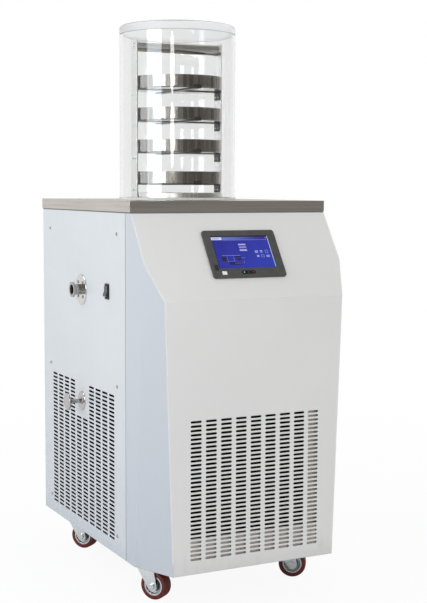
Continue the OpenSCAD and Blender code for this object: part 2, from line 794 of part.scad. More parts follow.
module drain_rosette() {
  r = rosette_d / 2;
  color(polished) placed() along_x(-side_x, side_mid, drain_z) mirror([0, 0, 1])
    rotate_extrude($fn = 96)
      polygon([[stem_d / 2 + 0.5, 0], [r, 0], [r, 0.8], [r - 1.2, 2], [stem_d / 2 + 4, 2],
               [stem_d / 2 + 3, 5], [stem_d / 2 + 0.5, 5]]);
}

module drain_knob() {
  s = stem_d / 2;
  k = knob_d / 2;
  color(polished) placed() along_x(-side_x, side_mid, drain_z) mirror([0, 0, 1])
    rotate_extrude($fn = 72)
      polygon(concat([[0, -20], [s, -20], [s, knob_reach - knob_t - 9],
                      [s + 4, knob_reach - knob_t - 6], [k * 0.6, knob_reach - knob_t]],
                     arc(k - 2, knob_reach - knob_t + 2, 2, -90, 0, 4),
                     arc(k - 2, knob_reach - 2, 2, 0, 70, 4), [[0, knob_reach]]));
}

// ---------------------------------------------------------------- power switch

switch_y = top_front + switch_in;
switch_z = top_h - switch_drop;
switch_lip = 2.5;
rocker_box_w = switch_w - 2.5;
rocker_box_h = switch_h - 3;
rocker_w = rocker_box_w - 3;
rocker_r = rocker_box_h / 2 - 1.8;
pivot_in = 3;
pin_d = 3;

module switch_housing() {
  color(black) placed() translate([-side_x, switch_y, switch_z]) difference() {
    union() {
      rotate([0, -90, 0]) linear_extrude(switch_lip)
        polygon(round_rect(switch_h, switch_w, 2, 4));
      translate([0, -rocker_box_w / 2, -rocker_box_h / 2])
        cube([26, rocker_box_w, rocker_box_h]);
    }
    translate([pivot_in, 0, 0]) rotate([90, 0, 0])
      cylinder(r = rocker_r + slip_fit, h = rocker_w + 2 * slip_fit, center = true);
    translate([-10, 0, 0])
      cube([20, rocker_w + 2 * slip_fit, 2 * (rocker_r + slip_fit)], center = true);
    translate([pivot_in, 0, 0]) rotate([90, 0, 0])
      cylinder(d = pin_d + 2 * run_fit, h = rocker_box_w - 0.6, center = true);
  }
}

// The rocker: a drum about its pins, cut to two faces that meet over the pivot.
module power_rocker() {
  color([0.16, 0.16, 0.17]) placed() translate([pivot_in - side_x, switch_y, switch_z])
    rotate([0, rocker_tilt, 0]) {
      intersection() {
        rotate([90, 0, 0]) cylinder(r = rocker_r, h = rocker_w, center = true);
        rotate([90, 0, 0]) linear_extrude(rocker_w, center = true)
          polygon([[-12, 20], [-8.2, 0], [-12, -20], [8, -20], [8, 20]]);
      }
      rotate([90, 0, 0]) cylinder(d = pin_d, h = rocker_box_w - 1.2, center = true);
    }
}

// ---------------------------------------------------------------- touch panel

hmi_box_w = hmi_w - 18;
hmi_box_h = hmi_h - 18;
lcd_t = 2.5;
lcd_lap = 3;

// The console's outer face at the touch panel's centre, with +Z pointing out of it.
module on_console() {
  translate([0, top_front, panel_top]) rotate([console_tilt, 0, 0])
    translate([0, -hmi_down, 0]) children();
}

module touch_panel_bezel() {
  color([0.27, 0.28, 0.28]) placed() on_console() difference() {
    linear_extrude(hmi_t) polygon(round_rect(hmi_w, hmi_h, hmi_r));
    translate([-lcd_w / 2, lcd_up - lcd_h / 2, -1]) cube([lcd_w, lcd_h, hmi_t + 2]);
    translate([-lcd_w / 2 - lcd_lap, lcd_up - lcd_h / 2 - lcd_lap, -1])
      cube([lcd_w + 2 * lcd_lap, lcd_h + 2 * lcd_lap, lcd_t + 1]);
  }
}

module touch_screen() {
  w = lcd_w + 2 * lcd_lap - 2 * weld_gap;
  h = lcd_h + 2 * lcd_lap - 2 * weld_gap;
  color([0.16, 0.2, 0.65]) placed() on_console()
    translate([-w / 2, lcd_up - h / 2, 0]) cube([w, h, lcd_t]);
}

module touch_panel_housing() {
  color(black) placed() on_console() difference() {
    translate([0, 0, -hmi_depth]) linear_extrude(hmi_depth)
      polygon(round_rect(hmi_box_w, hmi_box_h, 4));
    for (x = [-30, 0, 30])
      translate([x, 8 - hmi_box_h / 2, -hmi_depth - 1]) cube([18, 11, 6], center = true);
  }
}

// ---------------------------------------------------------------- refrigeration

comp_foot = base_top + 16;
foot_x = 82;
foot_y = 66;
foot_edge = 16;
shell_bead = 2;
comp_gap_x = 42.5;
comp_gap_y = 1.5;
comp_x = post_x - tube_w / 2 - foot_x - foot_edge - comp_gap_x;
comp_y = rail_y - tube_w / 2 - max(foot_y + foot_edge, comp_d / 2 + shell_bead) - comp_gap_y;
cond_y = front_y + 34;
cond_foot = base_top + 6;
cond_mid = cond_foot + cond_h / 2;
shroud_y = cond_y + cond_t;
fan_y = shroud_y + 20;
motor_y = fan_y + 30;

module compressor() {
  r = comp_d / 2;
  color(black) placed() translate([comp_x, comp_y, comp_foot]) {
    difference() {
      translate([-foot_x - foot_edge, -foot_y - foot_edge, 0])
        cube([2 * (foot_x + foot_edge), 2 * (foot_y + foot_edge), 3]);
      for (x = [-1, 1], y = [-1, 1])
        translate([x * foot_x, y * foot_y, -1]) cylinder(d = 14, h = 5);
    }
    rotate_extrude() polygon(concat([[0, 2], [r - 30, 2]], arc(r - 30, 32, 30, -90, 0),
      [[r, comp_h * 0.55], [r + shell_bead, comp_h * 0.55], [r + shell_bead, comp_h * 0.55 + 6],
       [r, comp_h * 0.55 + 6]],
      arc(r - 46, comp_h - 46, 46, 0, 90), [[0, comp_h]]));
    translate([-24, r - 6, comp_h * 0.34]) cube([48, 28, 60]);
  }
}

module compressor_feet() {
  color([0.2, 0.2, 0.2]) placed() for (x = [-1, 1], y = [-1, 1])
    translate([comp_x + x * foot_x, comp_y + y * foot_y, base_top]) rotate_extrude()
      polygon([[4.5, 0], [13, 0], [13, comp_foot - base_top], [6.8, comp_foot - base_top],
               [6.8, comp_foot - base_top + 3.2], [11, comp_foot - base_top + 3.2],
               [9, comp_foot - base_top + 9], [4.5, comp_foot - base_top + 9]]);
}

// A fin block between two end plates, with the return bends of two tube rows.
module condenser() {
  rows = 7;
  gap = cond_h / rows;
  color([0.7, 0.7, 0.7]) placed() translate([0, cond_y, cond_foot]) {
    for (s = [-1, 1]) translate([s * (cond_w / 2 - 1) - 1, 0, -6]) cube([2, cond_t, cond_h + 6]);
    translate([1.9 - cond_w / 2, 3, 4]) cube([cond_w - 3.8, cond_t - 6, cond_h - 8]);
    for (s = [0, 1], i = [0:rows - 1]) mirror([s, 0, 0])
      translate([cond_w / 2 - 0.5, cond_t / 2, (i + 0.5) * gap]) rotate([90, 0, 90])
        rotate_extrude(angle = 180) translate([11, 0]) circle(d = 9);
  }
}

// A shroud with a ring round the fan, and three arms that carry the motor.
module fan_shroud() {
  ring = fan_d / 2 + 5;
  color(painted) placed() translate([0, shroud_y, cond_mid]) rotate([-90, 0, 0]) {
    difference() {
      union() {
        translate([-cond_w / 2, -cond_h / 2, 0]) cube([cond_w, cond_h, 1.5]);
        cylinder(r = ring + 2, h = 42, $fn = 96);
      }
      translate([0, 0, -1]) cylinder(r = ring, h = 50, $fn = 96);
    }
    for (a = [90, 210, 330]) rotate(a)
      translate([motor_r + 1.9, -8, 38.5]) cube([ring - motor_r - 1.5, 16, 3.5]);
    translate([0, 0, 38.5]) difference() {
      cylinder(r = motor_r + 4, h = 10);
      translate([0, 0, -1]) cylinder(r = motor_r, h = 12);
    }
  }
}
motor_r = 38;

module fan_motor() {
  color([0.3, 0.3, 0.32]) placed() along_y(0, motor_y - 12, cond_mid) difference() {
    union() {
      cylinder(r = motor_r, h = 62);
      translate([0, 0, -3]) cylinder(r = 12, h = 4);
    }
    translate([0, 0, -4]) cylinder(r = shaft_r + run_fit, h = 34);
  }
}
shaft_r = 5;

// The fan: a hub with pitched blades, on its shaft.
module fan_rotor() {
  r = fan_d / 2;
  color([0.75, 0.76, 0.78]) placed() along_y(0, fan_y, cond_mid) {
    translate([0, 0, -9]) cylinder(r = 28, h = 18);
    cylinder(r = shaft_r, h = motor_y - fan_y + 10);
    for (i = [0:fan_blades - 1]) rotate(i * 360 / fan_blades) intersection() {
      translate([24, 0, 0]) rotate([blade_pitch, 0, 0])
        translate([0, -32, -1]) cube([r, 64, 2]);
      translate([0, 0, -40]) cylinder(r = r, h = 80);
    }
  }
}

drier_x = -70;
drier_y = 150;
drier_z = 300;

module filter_drier() {
  color(copper) placed() translate([drier_x, drier_y, drier_z]) rotate_extrude()
    polygon(concat([[0, 0], [5, 0], [5, 12]], arc(14, 22, 6, -90, 0, 3),
                   arc(14, 98, 6, 0, 90, 3), [[5, 108], [5, 120], [0, 120]]));
}

// Copper runs: suction, discharge, liquid line and capillary, each along its own route.
module refrigerant_pipes() {
  r = comp_d / 2;
  tail = chamber_y + tail_y;
  run_y = (chamber_y + foam_r + post_y[1] - tube_w / 2) / 2;
  low = coil_top - (coil_turns - 0.5) * coil_pitch;
  under = trap_foot - foam_t - 20;
  top = comp_foot + comp_h;
  side = cond_w / 2 + 11;
  color(copper) placed() {
    swept_tube(rounded([[helix_r, tail + 0.3, coil_top], [helix_r, run_y, coil_top],
      [helix_r, run_y, top + 50], [comp_x, comp_y, top + 50], [comp_x, comp_y, top]], 14),
      coil_tube);
    swept_tube(rounded([[comp_x + r + 0.3, comp_y, comp_foot + 60],
      [comp_x + r + 22, comp_y, comp_foot + 60], [comp_x + r + 22, comp_y - 160, comp_foot + 60],
      [side + 14, cond_y + cond_t / 2, comp_foot + 90], [side, cond_y + cond_t / 2, comp_foot + 90]],
      8), 8);
    swept_tube(rounded([[-side, cond_y + cond_t / 2, comp_foot + 44],
      [-side - 14, cond_y + cond_t / 2, comp_foot + 44], [-side - 14, drier_y, comp_foot + 44],
      [drier_x, drier_y, comp_foot + 44], [drier_x, drier_y, drier_z - 0.3]], 10), 8);
    swept_tube(rounded([[drier_x, drier_y, drier_z + 120.3], [drier_x, drier_y, under],
      [-helix_r, run_y - 6, under], [-helix_r, run_y - 6, low], [-helix_r, tail + 0.3, low]],
      9), 6);
  }
}

// ---------------------------------------------------------------- electrical

module control_box() {
  color([0.55, 0.57, 0.6]) placed()
    translate([post_x - tube_w / 2 - 74, post_y[0] - tube_w / 2, top_h - 520]) {
      cube([74, 180, 220]);
      for (i = [0:3]) translate([20 + 14 * i, 30, -8]) cylinder(d = 9, h = 9);
    }
}

// The gland where the mains cord enters: a body outside and a locknut inside.
module cord_gland() {
  d = gland_d;
  color(black) placed() along_y(gland_x, rear_y, gland_z) {
    difference() {
      union() {
        cylinder(d = d, h = 6);
        rotate_extrude() polygon(concat([[0, 5], [d * 0.46, 5]],
          arc(d * 0.46 - 4, gland_reach - 4, 4, 0, 90, 4), [[0, gland_reach]]));
        translate([0, 0, -12]) cylinder(d = d * 0.66, h = 13);
      }
      translate([0, 0, -13]) cylinder(d = cord_bore, h = gland_reach + 14);
    }
    translate([0, 0, -sheet_t - 5.2]) difference() {
      hex(d, 5);
      translate([0, 0, -1]) cylinder(d = d * 0.66 + 0.2, h = 8);
    }
  }
}

// ---------------------------------------------------------------- casters

bolt_hole = bolt_d + 0.5;
plate_h = 3;
race_h = 6;
crown_top = caster_h - plate_h - race_h - slip_fit;
crown_h = 2.5;
leg_gap = tyre_w / 2 + 2.5;
fork_t = 2.5;
axle_z = wheel_d / 2;
kingpin_r = 6;

function caster_at(i) = [(i % 2 == 0 ? -1 : 1) * caster_x, (i < 2 ? -1 : 1) * caster_y];

// Caster i (0 to 3) in its own frame: the axle along Y, the wheel trailing towards +X.
module at_caster(i) {
  translate(concat(caster_at(i), [0])) rotate(-caster_turn[i]) children();
}

module each_caster_bolt() {
  for (i = [0:3], x = [-1, 1], y = [-1, 1])
    translate([caster_at(i)[0] + x * plate_x / 2, caster_at(i)[1] + y * plate_y / 2, caster_h])
      children();
}

// Each plate with its raceway cup and the kingpin riveted through it.
module caster_plates() {
  color(zinc) placed() difference() {
    for (i = [0:3]) translate(concat(caster_at(i), [0])) {
      translate([0, 0, caster_h - plate_h]) linear_extrude(plate_h)
        polygon(round_rect(plate_x + 24, plate_y + 22, 6));
      translate([0, 0, caster_h - plate_h - race_h]) cylinder(r = 24, h = race_h + 0.5);
      translate([0, 0, crown_top - crown_h - 5]) cylinder(r = kingpin_r, h = 16);
      translate([0, 0, crown_top - crown_h - slip_fit - 4]) cylinder(r = 11, h = 4);
    }
    each_caster_bolt() translate([0, 0, -9]) cylinder(d = bolt_hole, h = 20);
  }
}

module caster_bolts() {
  color(zinc) placed() each_caster_bolt() {
    translate([0, 0, -plate_h - 5]) hex(nut_af, 5);
    translate([0, 0, -plate_h - 1]) cylinder(d = bolt_d, h = plate_h + base_t + 12);
    translate([0, 0, base_t]) hex(nut_af, 6.5);
  }
}

// A pressed fork, with the axle bolt through it and the nut on the bolt's far end.
module caster_fork(i) {
  out = leg_gap + fork_t;
  color(zinc) placed() at_caster(i - 1) {
    difference() {
      union() {
        intersection() {
          translate([-30, -out, crown_top - crown_h]) cube([62, 2 * out, crown_h]);
          translate([0, 0, crown_top - crown_h]) cylinder(r = 33, h = crown_h);
        }
        for (y = [-out, leg_gap]) translate([0, y + fork_t, 0]) rotate([90, 0, 0])
          linear_extrude(fork_t) union() {
            polygon([[-25, crown_top], [-25, crown_top - 10], [trail - 12.2, axle_z - 5],
                     [trail + 12.5, axle_z], [trail + 2, crown_top - 12], [25, crown_top]]);
            translate([trail, axle_z]) circle(r = 13);
          }
      }
      translate([0, 0, crown_top - 10]) cylinder(r = kingpin_r + run_fit, h = 20);
      translate([trail, 0, axle_z]) rotate([90, 0, 0])
        cylinder(d = axle_d + 2 * run_fit, h = 3 * out, center = true);
    }
    translate([trail, 0, axle_z]) rotate([90, 0, 0]) {
      translate([0, 0, -out - 8]) cylinder(d = axle_d, h = 2 * out + 10);
      translate([0, 0, out + weld_gap]) hex(13, 5.3);
      translate([0, 0, -out - weld_gap - 6.5]) hex(nut_af, 6.5);
    }
  }
}

module caster_tyre(i) {
  r = wheel_d / 2;
  w = tyre_w / 2;
  color([0.42, 0.05, 0.06]) placed() at_caster(i - 1) translate([trail, 0, axle_z])
    rotate([90, 0, 0]) rotate_extrude($fn = 72)
      polygon(concat([[hub_d / 2, -w + 1], [hub_d / 2 + 1, -w]],
        arc(r - 5, 5 - w, 5, -90, -15, 5), [[r, 0]], arc(r - 5, w - 5, 5, 15, 90, 5),
        [[hub_d / 2 + 1, w], [hub_d / 2, w - 1]]));
}

// A pressed hub: rim, dished web, bearing cap and boss, with the axle's bore.
module caster_hub(i) {
  r = hub_d / 2;
  w = tyre_w / 2 - 1;
  color(zinc) placed() at_caster(i - 1) translate([trail, 0, axle_z])
    rotate([90, 0, 0]) rotate_extrude($fn = 72)
      polygon([[axle_d / 2 + run_fit, -leg_gap + slip_fit], [8, -leg_gap + slip_fit],
               [8, -w + 3], [13, -w + 3], [13.5, -7], [r - 6, -5], [r - 4, -w + 1], [r - 3, -w],
               [r, -w], [r, w], [r - 3, w], [r - 4, w - 1], [r - 6, 5], [13.5, 7],
               [13, w - 3], [8, w - 3], [8, leg_gap - slip_fit],
               [axle_d / 2 + run_fit, leg_gap - slip_fit]]);
}

// ---------------------------------------------------------------- parts

base_plate();
frame_rails();
corner_posts();
left_side_panel();
right_side_panel();
rear_panel();
front_cover();
worktop();
panel_screws();
bell_gasket();
bell_tube();
bell_lid();
rack_base_ring();
rack_legs();
rack_handle();
rack_screws();
shelf_supports();
for (i = [1:4])
  tray(i);
cold_trap_vessel();
trap_insulation();
evaporator_coil();
drain_pipe();
vacuum_port();
port_plate();
drain_valve_body();
drain_rosette();
drain_knob();
switch_housing();
power_rocker();
touch_panel_bezel();
touch_screen();
touch_panel_housing();
compressor();
compressor_feet();
condenser();
fan_shroud();
fan_motor();
fan_rotor();
filter_drier();
refrigerant_pipes();
control_box();
cord_gland();
caster_plates();
caster_bolts();
for (i = [1:4]) {
  caster_fork(i);
  caster_tyre(i);
  caster_hub(i);
}
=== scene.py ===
# %% [markdown]
# # A freeze dryer for the biology lab
#
# A freeze dryer takes the water out of frozen samples under vacuum. Trays stand in a rack under
# a clear bell, vapour freezes onto a cold trap below them, and the cabinet holds the
# refrigeration. Every measured shape comes from a CAD model that is loaded here as a fixed
# frame, in metres, with +Z up and the front towards -Y. This lesson adds what CAD leaves out:
# the finish of each surface, the small details, the light and the camera.

# %% Load the measured model
import json
import math

import bmesh
import bpy
import numpy as np
from mathutils import Matrix, Vector


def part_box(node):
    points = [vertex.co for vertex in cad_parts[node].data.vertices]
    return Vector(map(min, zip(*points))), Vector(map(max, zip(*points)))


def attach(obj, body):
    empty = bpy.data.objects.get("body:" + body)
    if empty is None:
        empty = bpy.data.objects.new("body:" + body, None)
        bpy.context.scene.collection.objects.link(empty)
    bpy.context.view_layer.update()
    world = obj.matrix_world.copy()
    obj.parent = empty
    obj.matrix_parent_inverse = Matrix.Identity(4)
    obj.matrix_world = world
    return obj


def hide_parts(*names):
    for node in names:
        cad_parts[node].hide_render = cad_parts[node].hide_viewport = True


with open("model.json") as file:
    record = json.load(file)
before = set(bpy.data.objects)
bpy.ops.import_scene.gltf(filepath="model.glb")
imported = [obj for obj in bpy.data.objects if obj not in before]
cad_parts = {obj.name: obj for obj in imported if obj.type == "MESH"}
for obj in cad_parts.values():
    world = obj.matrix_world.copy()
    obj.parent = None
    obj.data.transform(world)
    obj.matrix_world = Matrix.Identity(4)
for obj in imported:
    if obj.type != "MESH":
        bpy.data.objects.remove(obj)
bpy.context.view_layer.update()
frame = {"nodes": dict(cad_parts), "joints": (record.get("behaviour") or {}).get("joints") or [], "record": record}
cad = frame["nodes"]
record = frame["record"]

# %% [markdown]
# ## The camera
#
# A product picture is taken from a few metres away with a long lens, so that upright edges stay
# nearly parallel. Blender aims a camera along its own -Z axis. Aiming with Euler angles by hand
# is guesswork, so the three axes are worked out from the heading, the dip and the small roll of
# the tripod, and they go into the camera's matrix as its columns.

# %% Camera
def aimed(place, heading, dip, roll):
    """The camera's matrix. Ahead = (sin heading cos dip, cos heading cos dip, -sin dip).
    Right is level and square to it, and roll turns right and up about ahead. In degrees."""
    h, d, r = (math.radians(a) for a in (heading, dip, roll))
    ahead = Vector((math.sin(h) * math.cos(d), math.cos(h) * math.cos(d), -math.sin(d)))
    level = Vector((math.cos(h), -math.sin(h), 0))
    over = level.cross(ahead)
    right = level * math.cos(r) + over * math.sin(r)
    up = over * math.cos(r) - level * math.sin(r)
    matrix = Matrix((right, up, -ahead)).transposed().to_4x4()
    matrix.translation = place
    return matrix


picture = (427, 603)  # width and height of the frame
focal_length = 1228.1  # in the same units as the frame
tripod = (-1.3941, -2.9423, 1.0255)
heading, dip, roll = 26.99, 5.32, 0.23
camera_data = bpy.data.cameras.new("studio_camera")
camera_data.lens = camera_data.sensor_width * focal_length / max(picture)
camera_data.clip_end = 60
camera = bpy.data.objects.new("studio_camera", camera_data)
bpy.context.scene.collection.objects.link(camera)
camera.matrix_world = aimed(tripod, heading, dip, roll)
bpy.context.scene.camera = camera
print("lens", round(camera_data.lens, 2), "mm")

# %% [markdown]
# ## Shader maths as formulas
#
# A procedural finish is arithmetic: noise, times a mask, plus a colour. Clicking Math nodes
# together hides the formula, so one small class wraps a node's output and gives it Python's
# signs. A sum of two numbers adds a Math node. A sum of vectors or colours adds a Vector Math
# node, because a Math node would turn a colour grey. Any other node comes from `make`.

# %% Wire: one output of a node
class Wire:
    """An output socket. Signs between single numbers add Math nodes, and signs between
    vectors or colours add Vector Math nodes. `make` adds any other node. `wave` is the sine,
    `turns` the part of a number after its point, and `length` how long a vector is."""

    def __init__(self, socket):
        self.socket = socket

    def make(self, kind, settings=None, sockets=None, out=0):
        """A new node of this kind: its settings first, then a value or a link for each socket."""
        tree = self.socket.id_data
        node = tree.nodes.new(kind)
        for name, value in (settings or {}).items():
            setattr(node, name, value)
        for key, value in (sockets or {}).items():
            if isinstance(value, Wire):
                tree.links.new(value.socket, node.inputs[key])
            else:
                node.inputs[key].default_value = value
        return Wire(node.outputs[out])

    def work(self, operation, first, second=None):
        """A Math node, or a Vector Math node where a vector or a colour takes part."""
        pair = [p for p in (first, second) if p is not None]
        wide = any(isinstance(p, tuple) or isinstance(p, Wire) and p.socket.type != "VALUE"
                   for p in pair)
        if wide:
            pair = [(p, p, p) if isinstance(p, (int, float)) else p for p in pair]
        kind = "ShaderNodeVectorMath" if wide else "ShaderNodeMath"
        return self.make(kind, {"operation": operation}, dict(enumerate(pair)))

    def __add__(self, other): return self.work("ADD", self, other)
    def __radd__(self, other): return self.work("ADD", other, self)
    def __sub__(self, other): return self.work("SUBTRACT", self, other)
    def __rsub__(self, other): return self.work("SUBTRACT", other, self)
    def __mul__(self, other): return self.work("MULTIPLY", self, other)
    def __rmul__(self, other): return self.work("MULTIPLY", other, self)
    def __pow__(self, other): return self.work("POWER", self, other)
    def __abs__(self): return self.work("ABSOLUTE", self)
    def max(self, other): return self.work("MAXIMUM", self, other)
    def wave(self): return self.work("SINE", self)
    def turns(self): return self.work("FRACT", self)

    def part(self, axis):
        """The x, y or z of a vector: axis 0, 1 or 2."""
        return self.make("ShaderNodeSeparateXYZ", {}, {0: self}, out=axis)

    def length(self):
        return self.make("ShaderNodeVectorMath", {"operation": "LENGTH"}, {0: self}, out=1)

    def dot(self, other):
        """Dot product with another vector."""
        return self.make("ShaderNodeVectorMath", {"operation": "DOT_PRODUCT"},
                         {0: self, 1: other}, out=1)

    def rise(self, low, high):
        """0 below low and 1 above high, with a smooth step between them."""
        return self.make("ShaderNodeMapRange", {"interpolation_type": "SMOOTHSTEP"},
                         {"Value": self, "From Min": low, "From Max": high})

    def bar(self, low, high, soft):
        """1 between low and high, and 0 outside them."""
        return self.rise(low - soft, low + soft) * (1 - self.rise(high - soft, high + soft))

    def noise(self, scale, detail=2.0, rough=0.5):
        """Smooth noise about 0.5 at this point, with features of 1 / scale."""
        return self.make("ShaderNodeTexNoise", {}, {"Vector": self, "Scale": scale,
                                                    "Detail": detail, "Roughness": rough})

    def cells(self, scale, out=0):
        """Voronoi: 0 is the distance to the nearest seed, 1 its colour."""
        return self.make("ShaderNodeTexVoronoi", {}, {"Vector": self, "Scale": scale}, out=out)

    def mix(self, first, second):
        """Two colours, mixed by this value."""
        pair = [(*c, 1) if isinstance(c, tuple) else c for c in (first, second)]
        return self.make("ShaderNodeMix", {"data_type": "RGBA"},
                         {0: self, 6: pair[0], 7: pair[1]}, out=2)


print("signs that a Wire knows: + - * ** abs, and max, wave, rise, bar, noise, cells, mix")

# %% [markdown]
# ## A finish
#
# Each finish is one Principled shader. Numbers that are the same all over are set on its own
# sockets. Patterns read Object coordinates, which are metres in the machine's frame here, so a
# noise scale of 1000 gives features of about a millimetre on every piece, large or small.
#
# Sheet metal has no perfectly sharp edge. A Bevel node looks round the edge inside the same
# mesh and bends the normal over a millimetre or two, which gives the thin highlight along a fold
# with no extra faces. How far it bends the normal also tells how near an edge is, and this
# is the mask for wear, and for painted highlights and painted dark lines along edges.

# %% Finish: one Principled shader
class Finish:
    """A material. `level` holds the constants, by socket name, and `drive` links patterns.
    `place` is the point in metres, and `facing` is the way the surface faces."""

    def __init__(self, name, level):
        self.material = bpy.data.materials.new(name)
        self.material.use_nodes = True
        self.tree = self.material.node_tree
        self.shader = self.tree.nodes["Principled BSDF"]
        for socket, value in level.items():
            self.shader.inputs[socket].default_value = value
        self.place = Wire(self.tree.nodes.new("ShaderNodeTexCoord").outputs["Object"])
        self.facing = Wire(self.tree.nodes.new("ShaderNodeNewGeometry").outputs["Normal"])

    def drive(self, socket, wire):
        """Link a pattern to one socket of the shader."""
        self.tree.links.new(wire.socket, self.shader.inputs[socket])
        return self

    def show(self, surface):
        """Send another shader to the material's output, in place of the Principled one."""
        self.tree.links.new(surface.socket, self.tree.nodes["Material Output"].inputs["Surface"])
        return self

    def fold(self, radius):
        """The normal as if every edge were rounded to this radius."""
        return self.place.make("ShaderNodeBevel", {"samples": 6}, {"Radius": radius})

    def edge_wear_and_painted_light(self, radius, low=0.02, high=0.22):
        """1 on an edge and 0 away from it: 1 - (rounded normal . true normal), stretched."""
        return (1 - self.fold(radius).dot(self.facing)).rise(low, high)

    def relief(self, height, depth, normal=None, strength=1.0):
        """Bump of this depth in metres, over the normal given."""
        sockets = {"Height": height, "Distance": depth, "Strength": strength}
        if normal is not None:
            sockets["Normal"] = normal
        return self.drive("Normal", self.place.make("ShaderNodeBump", {}, sockets))


finishes = {}


def keep(slot, finish):
    """Use this finish for every node whose record names this material slot."""
    finishes[slot] = finish.material
    print(slot, "finished with", len(finish.tree.nodes), "nodes")


def scaled(colour, factor):
    """A colour times one factor, or times a factor for each channel, held to 1."""
    factors = (factor,) * 3 if isinstance(factor, (int, float)) else factor
    return tuple(min(1.0, f * c) for f, c in zip(factors, colour))


# %% [markdown]
# ## Powder-coated sheet
#
# The panels are steel, sprayed with grey powder that is melted on. Seen close, such a coat
# has an orange peel of low bumps about 2 mm across, and a finer grain inside them. Seen from
# further off its colour drifts a little. Folds are painted lighter, a painted highlight, and
# dust settles low on the panels. Where two panels meet, and under the worktop's hem, a fine
# dark line is painted: painted shadow in the gap. The cover and the side panels are separate
# batches, one a little warmer than the other. On the cover's facets and short sides the colour
# is painted bluer, and darker low down: painted cool light and shade. The crease beside them
# carries a painted highlight. All panels are painted darker towards the floor, painted shade,
# and the side panels bluer there. The panels' inner faces are painted near black, painted
# shade, so the louvres look black. Each of these is a mask between 0 and 1 that mixes one more
# colour in.

# %% Powder coat
side_low, side_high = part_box("left_side_panel")
seam_at = (side_low[1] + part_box("front_cover")[1][1]) / 2
hem_at = side_high[2]
inner_shade = (0.016, 0.016, 0.017)
joint_shadow = (0.06, 0.06, 0.065)
floor_dust = (0.36, 0.34, 0.31)
cool_shade_low, cool_shade_high = (0.495, 0.525, 0.57), (0.545, 0.565, 0.595)


def powder_coat(name, colour, fold=0.0022, dust=0.35, gloss=0.34, joint=0.0, inside=None,
                crease=None, cooler=None, foot=(0.8, 0.8, 0.8)):
    """Colour = batch colour x slow drift, painted lighter on folds as a painted highlight, times the
    foot factors towards the floor as painted shade, and dustier near the floor. Painted shadow lies
    within joint metres of the seam between panels and twice that under the worktop's hem.
    inside(place) masks the inner faces painted near black as shade, crease(place) where a fold
    takes a painted highlight, and cooler(coat) the faces painted bluer as cool light and shade.
    Height = orange peel + grain."""
    coat = Finish(name, {"IOR": 1.48, "Specular IOR Level": 0.42})
    p = coat.place
    drift = p.noise(2.3, 3.0).rise(0.3, 0.7)
    mottle = p.noise(38.0, 4.0, 0.6).rise(0.25, 0.75)
    edge = coat.edge_wear_and_painted_light(fold)
    low = 1 - p.part(2).rise(0.1, 0.3)
    dust_and_shade = low * (p * (1.0, 1.0, 0.35)).noise(55.0, 6.0, 0.62).rise(0.5, 0.78) * dust
    shade = drift.mix(scaled(colour, 0.968), scaled(colour, 1.012))
    shade = (mottle * 0.22).mix(shade, scaled(colour, 0.955))
    # Painted highlight: folds are painted lighter than the coat.
    shade = (edge * 0.55).mix(shade, scaled(colour, 1.16))
    # Painted shade: panels painted darker towards the floor, and bluer on the side panels by their foot factors.
    deep = (1 - p.part(2).rise(0.15, 0.7)) * 0.3 + (1 - p.part(2).rise(0.112, 0.16)) * 0.35
    shade = deep.mix(shade, scaled(colour, foot))
    # Painted cool light and shade: sideways faces are painted bluer, and darker low down.
    if cooler:
        shade = cooler(coat).mix(shade, p.part(2).rise(0.1, 0.95).mix(cool_shade_low, cool_shade_high))
    if crease:
        # Painted highlight: a bright line painted along the cover's creases.
        rubbed = coat.edge_wear_and_painted_light(0.0045, 0.03, 0.16) * crease(p) * 0.8
        shade = rubbed.mix(shade, (0.95, 0.955, 0.96))
    shade = (dust_and_shade * 0.5).mix(shade, floor_dust)
    # Painted shadow: a dark line painted along the seam between panels and under the worktop's hem.
    if joint:
        seam = 1 - abs(p.part(1) - seam_at).rise(0.3 * joint, joint)
        hem = p.part(2).rise(hem_at - 2 * joint, hem_at - joint)
        shade = (seam.max(hem) * 0.88).mix(shade, joint_shadow)
    # Painted shade: the inner faces are painted near black so the louvres look shaded.
    if inside:
        shade = inside(p).mix(shade, inner_shade)
    coat.drive("Base Color", shade)
    coat.drive("Roughness", mottle * 0.07 + gloss + dust_and_shade * 0.25 - edge * 0.08)
    peel = p.noise(520.0, 1.0) * 0.8 + p.noise(1900.0, 1.0) * 0.2
    return coat.relief(peel, 0.00009, coat.fold(fold), 0.55)


print("panels meet at y =", round(seam_at, 4), "and the hem is at z =", round(hem_at, 4))

# %% Where each batch differs
skin = 0.0006  # how deep the grey coat is taken to reach, in metres
joint_width = 0.0019
side_middle = (side_low[0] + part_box("right_side_panel")[1][0]) / 2
side_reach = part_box("right_side_panel")[1][0] - side_middle
rear_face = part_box("rear_panel")[1][1]
grille_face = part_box("front_cover")[0][1]


def inside_of_sides(p):
    """1 everywhere but in the outer skin of the side panels and the rear panel."""
    side_skin = abs(p.part(0) - side_middle).rise(side_reach - skin * 1.5, side_reach - skin * 0.5)
    return 1 - side_skin.max(p.part(1).rise(rear_face - skin * 1.5, rear_face - skin * 0.5))


def inside_of_cover(p):
    """1 behind the outer skin of the cover, on the part that holds the grille."""
    across = 1 - abs(p.part(0) - side_middle).rise(0.16, 0.17)
    low_part = (1 - p.part(2).rise(0.44, 0.46)) * across
    return low_part * p.part(1).rise(grille_face + skin * 0.5, grille_face + skin * 1.5)


def painted_crease_highlight(p):
    """1 beside the grille and above the hem, where the cover's upright creases take a painted highlight."""
    return abs(p.part(0) - side_middle).rise(0.165, 0.18) * p.part(2).rise(0.13, 0.16)


# The faces in this mask are painted bluer and darker: painted cool light and shade.
def painted_cool_faces(coat):
    """1 on the slanting facets and the short sides, which face more than a third sideways."""
    return abs(coat.facing.part(0)).rise(0.3, 0.42)


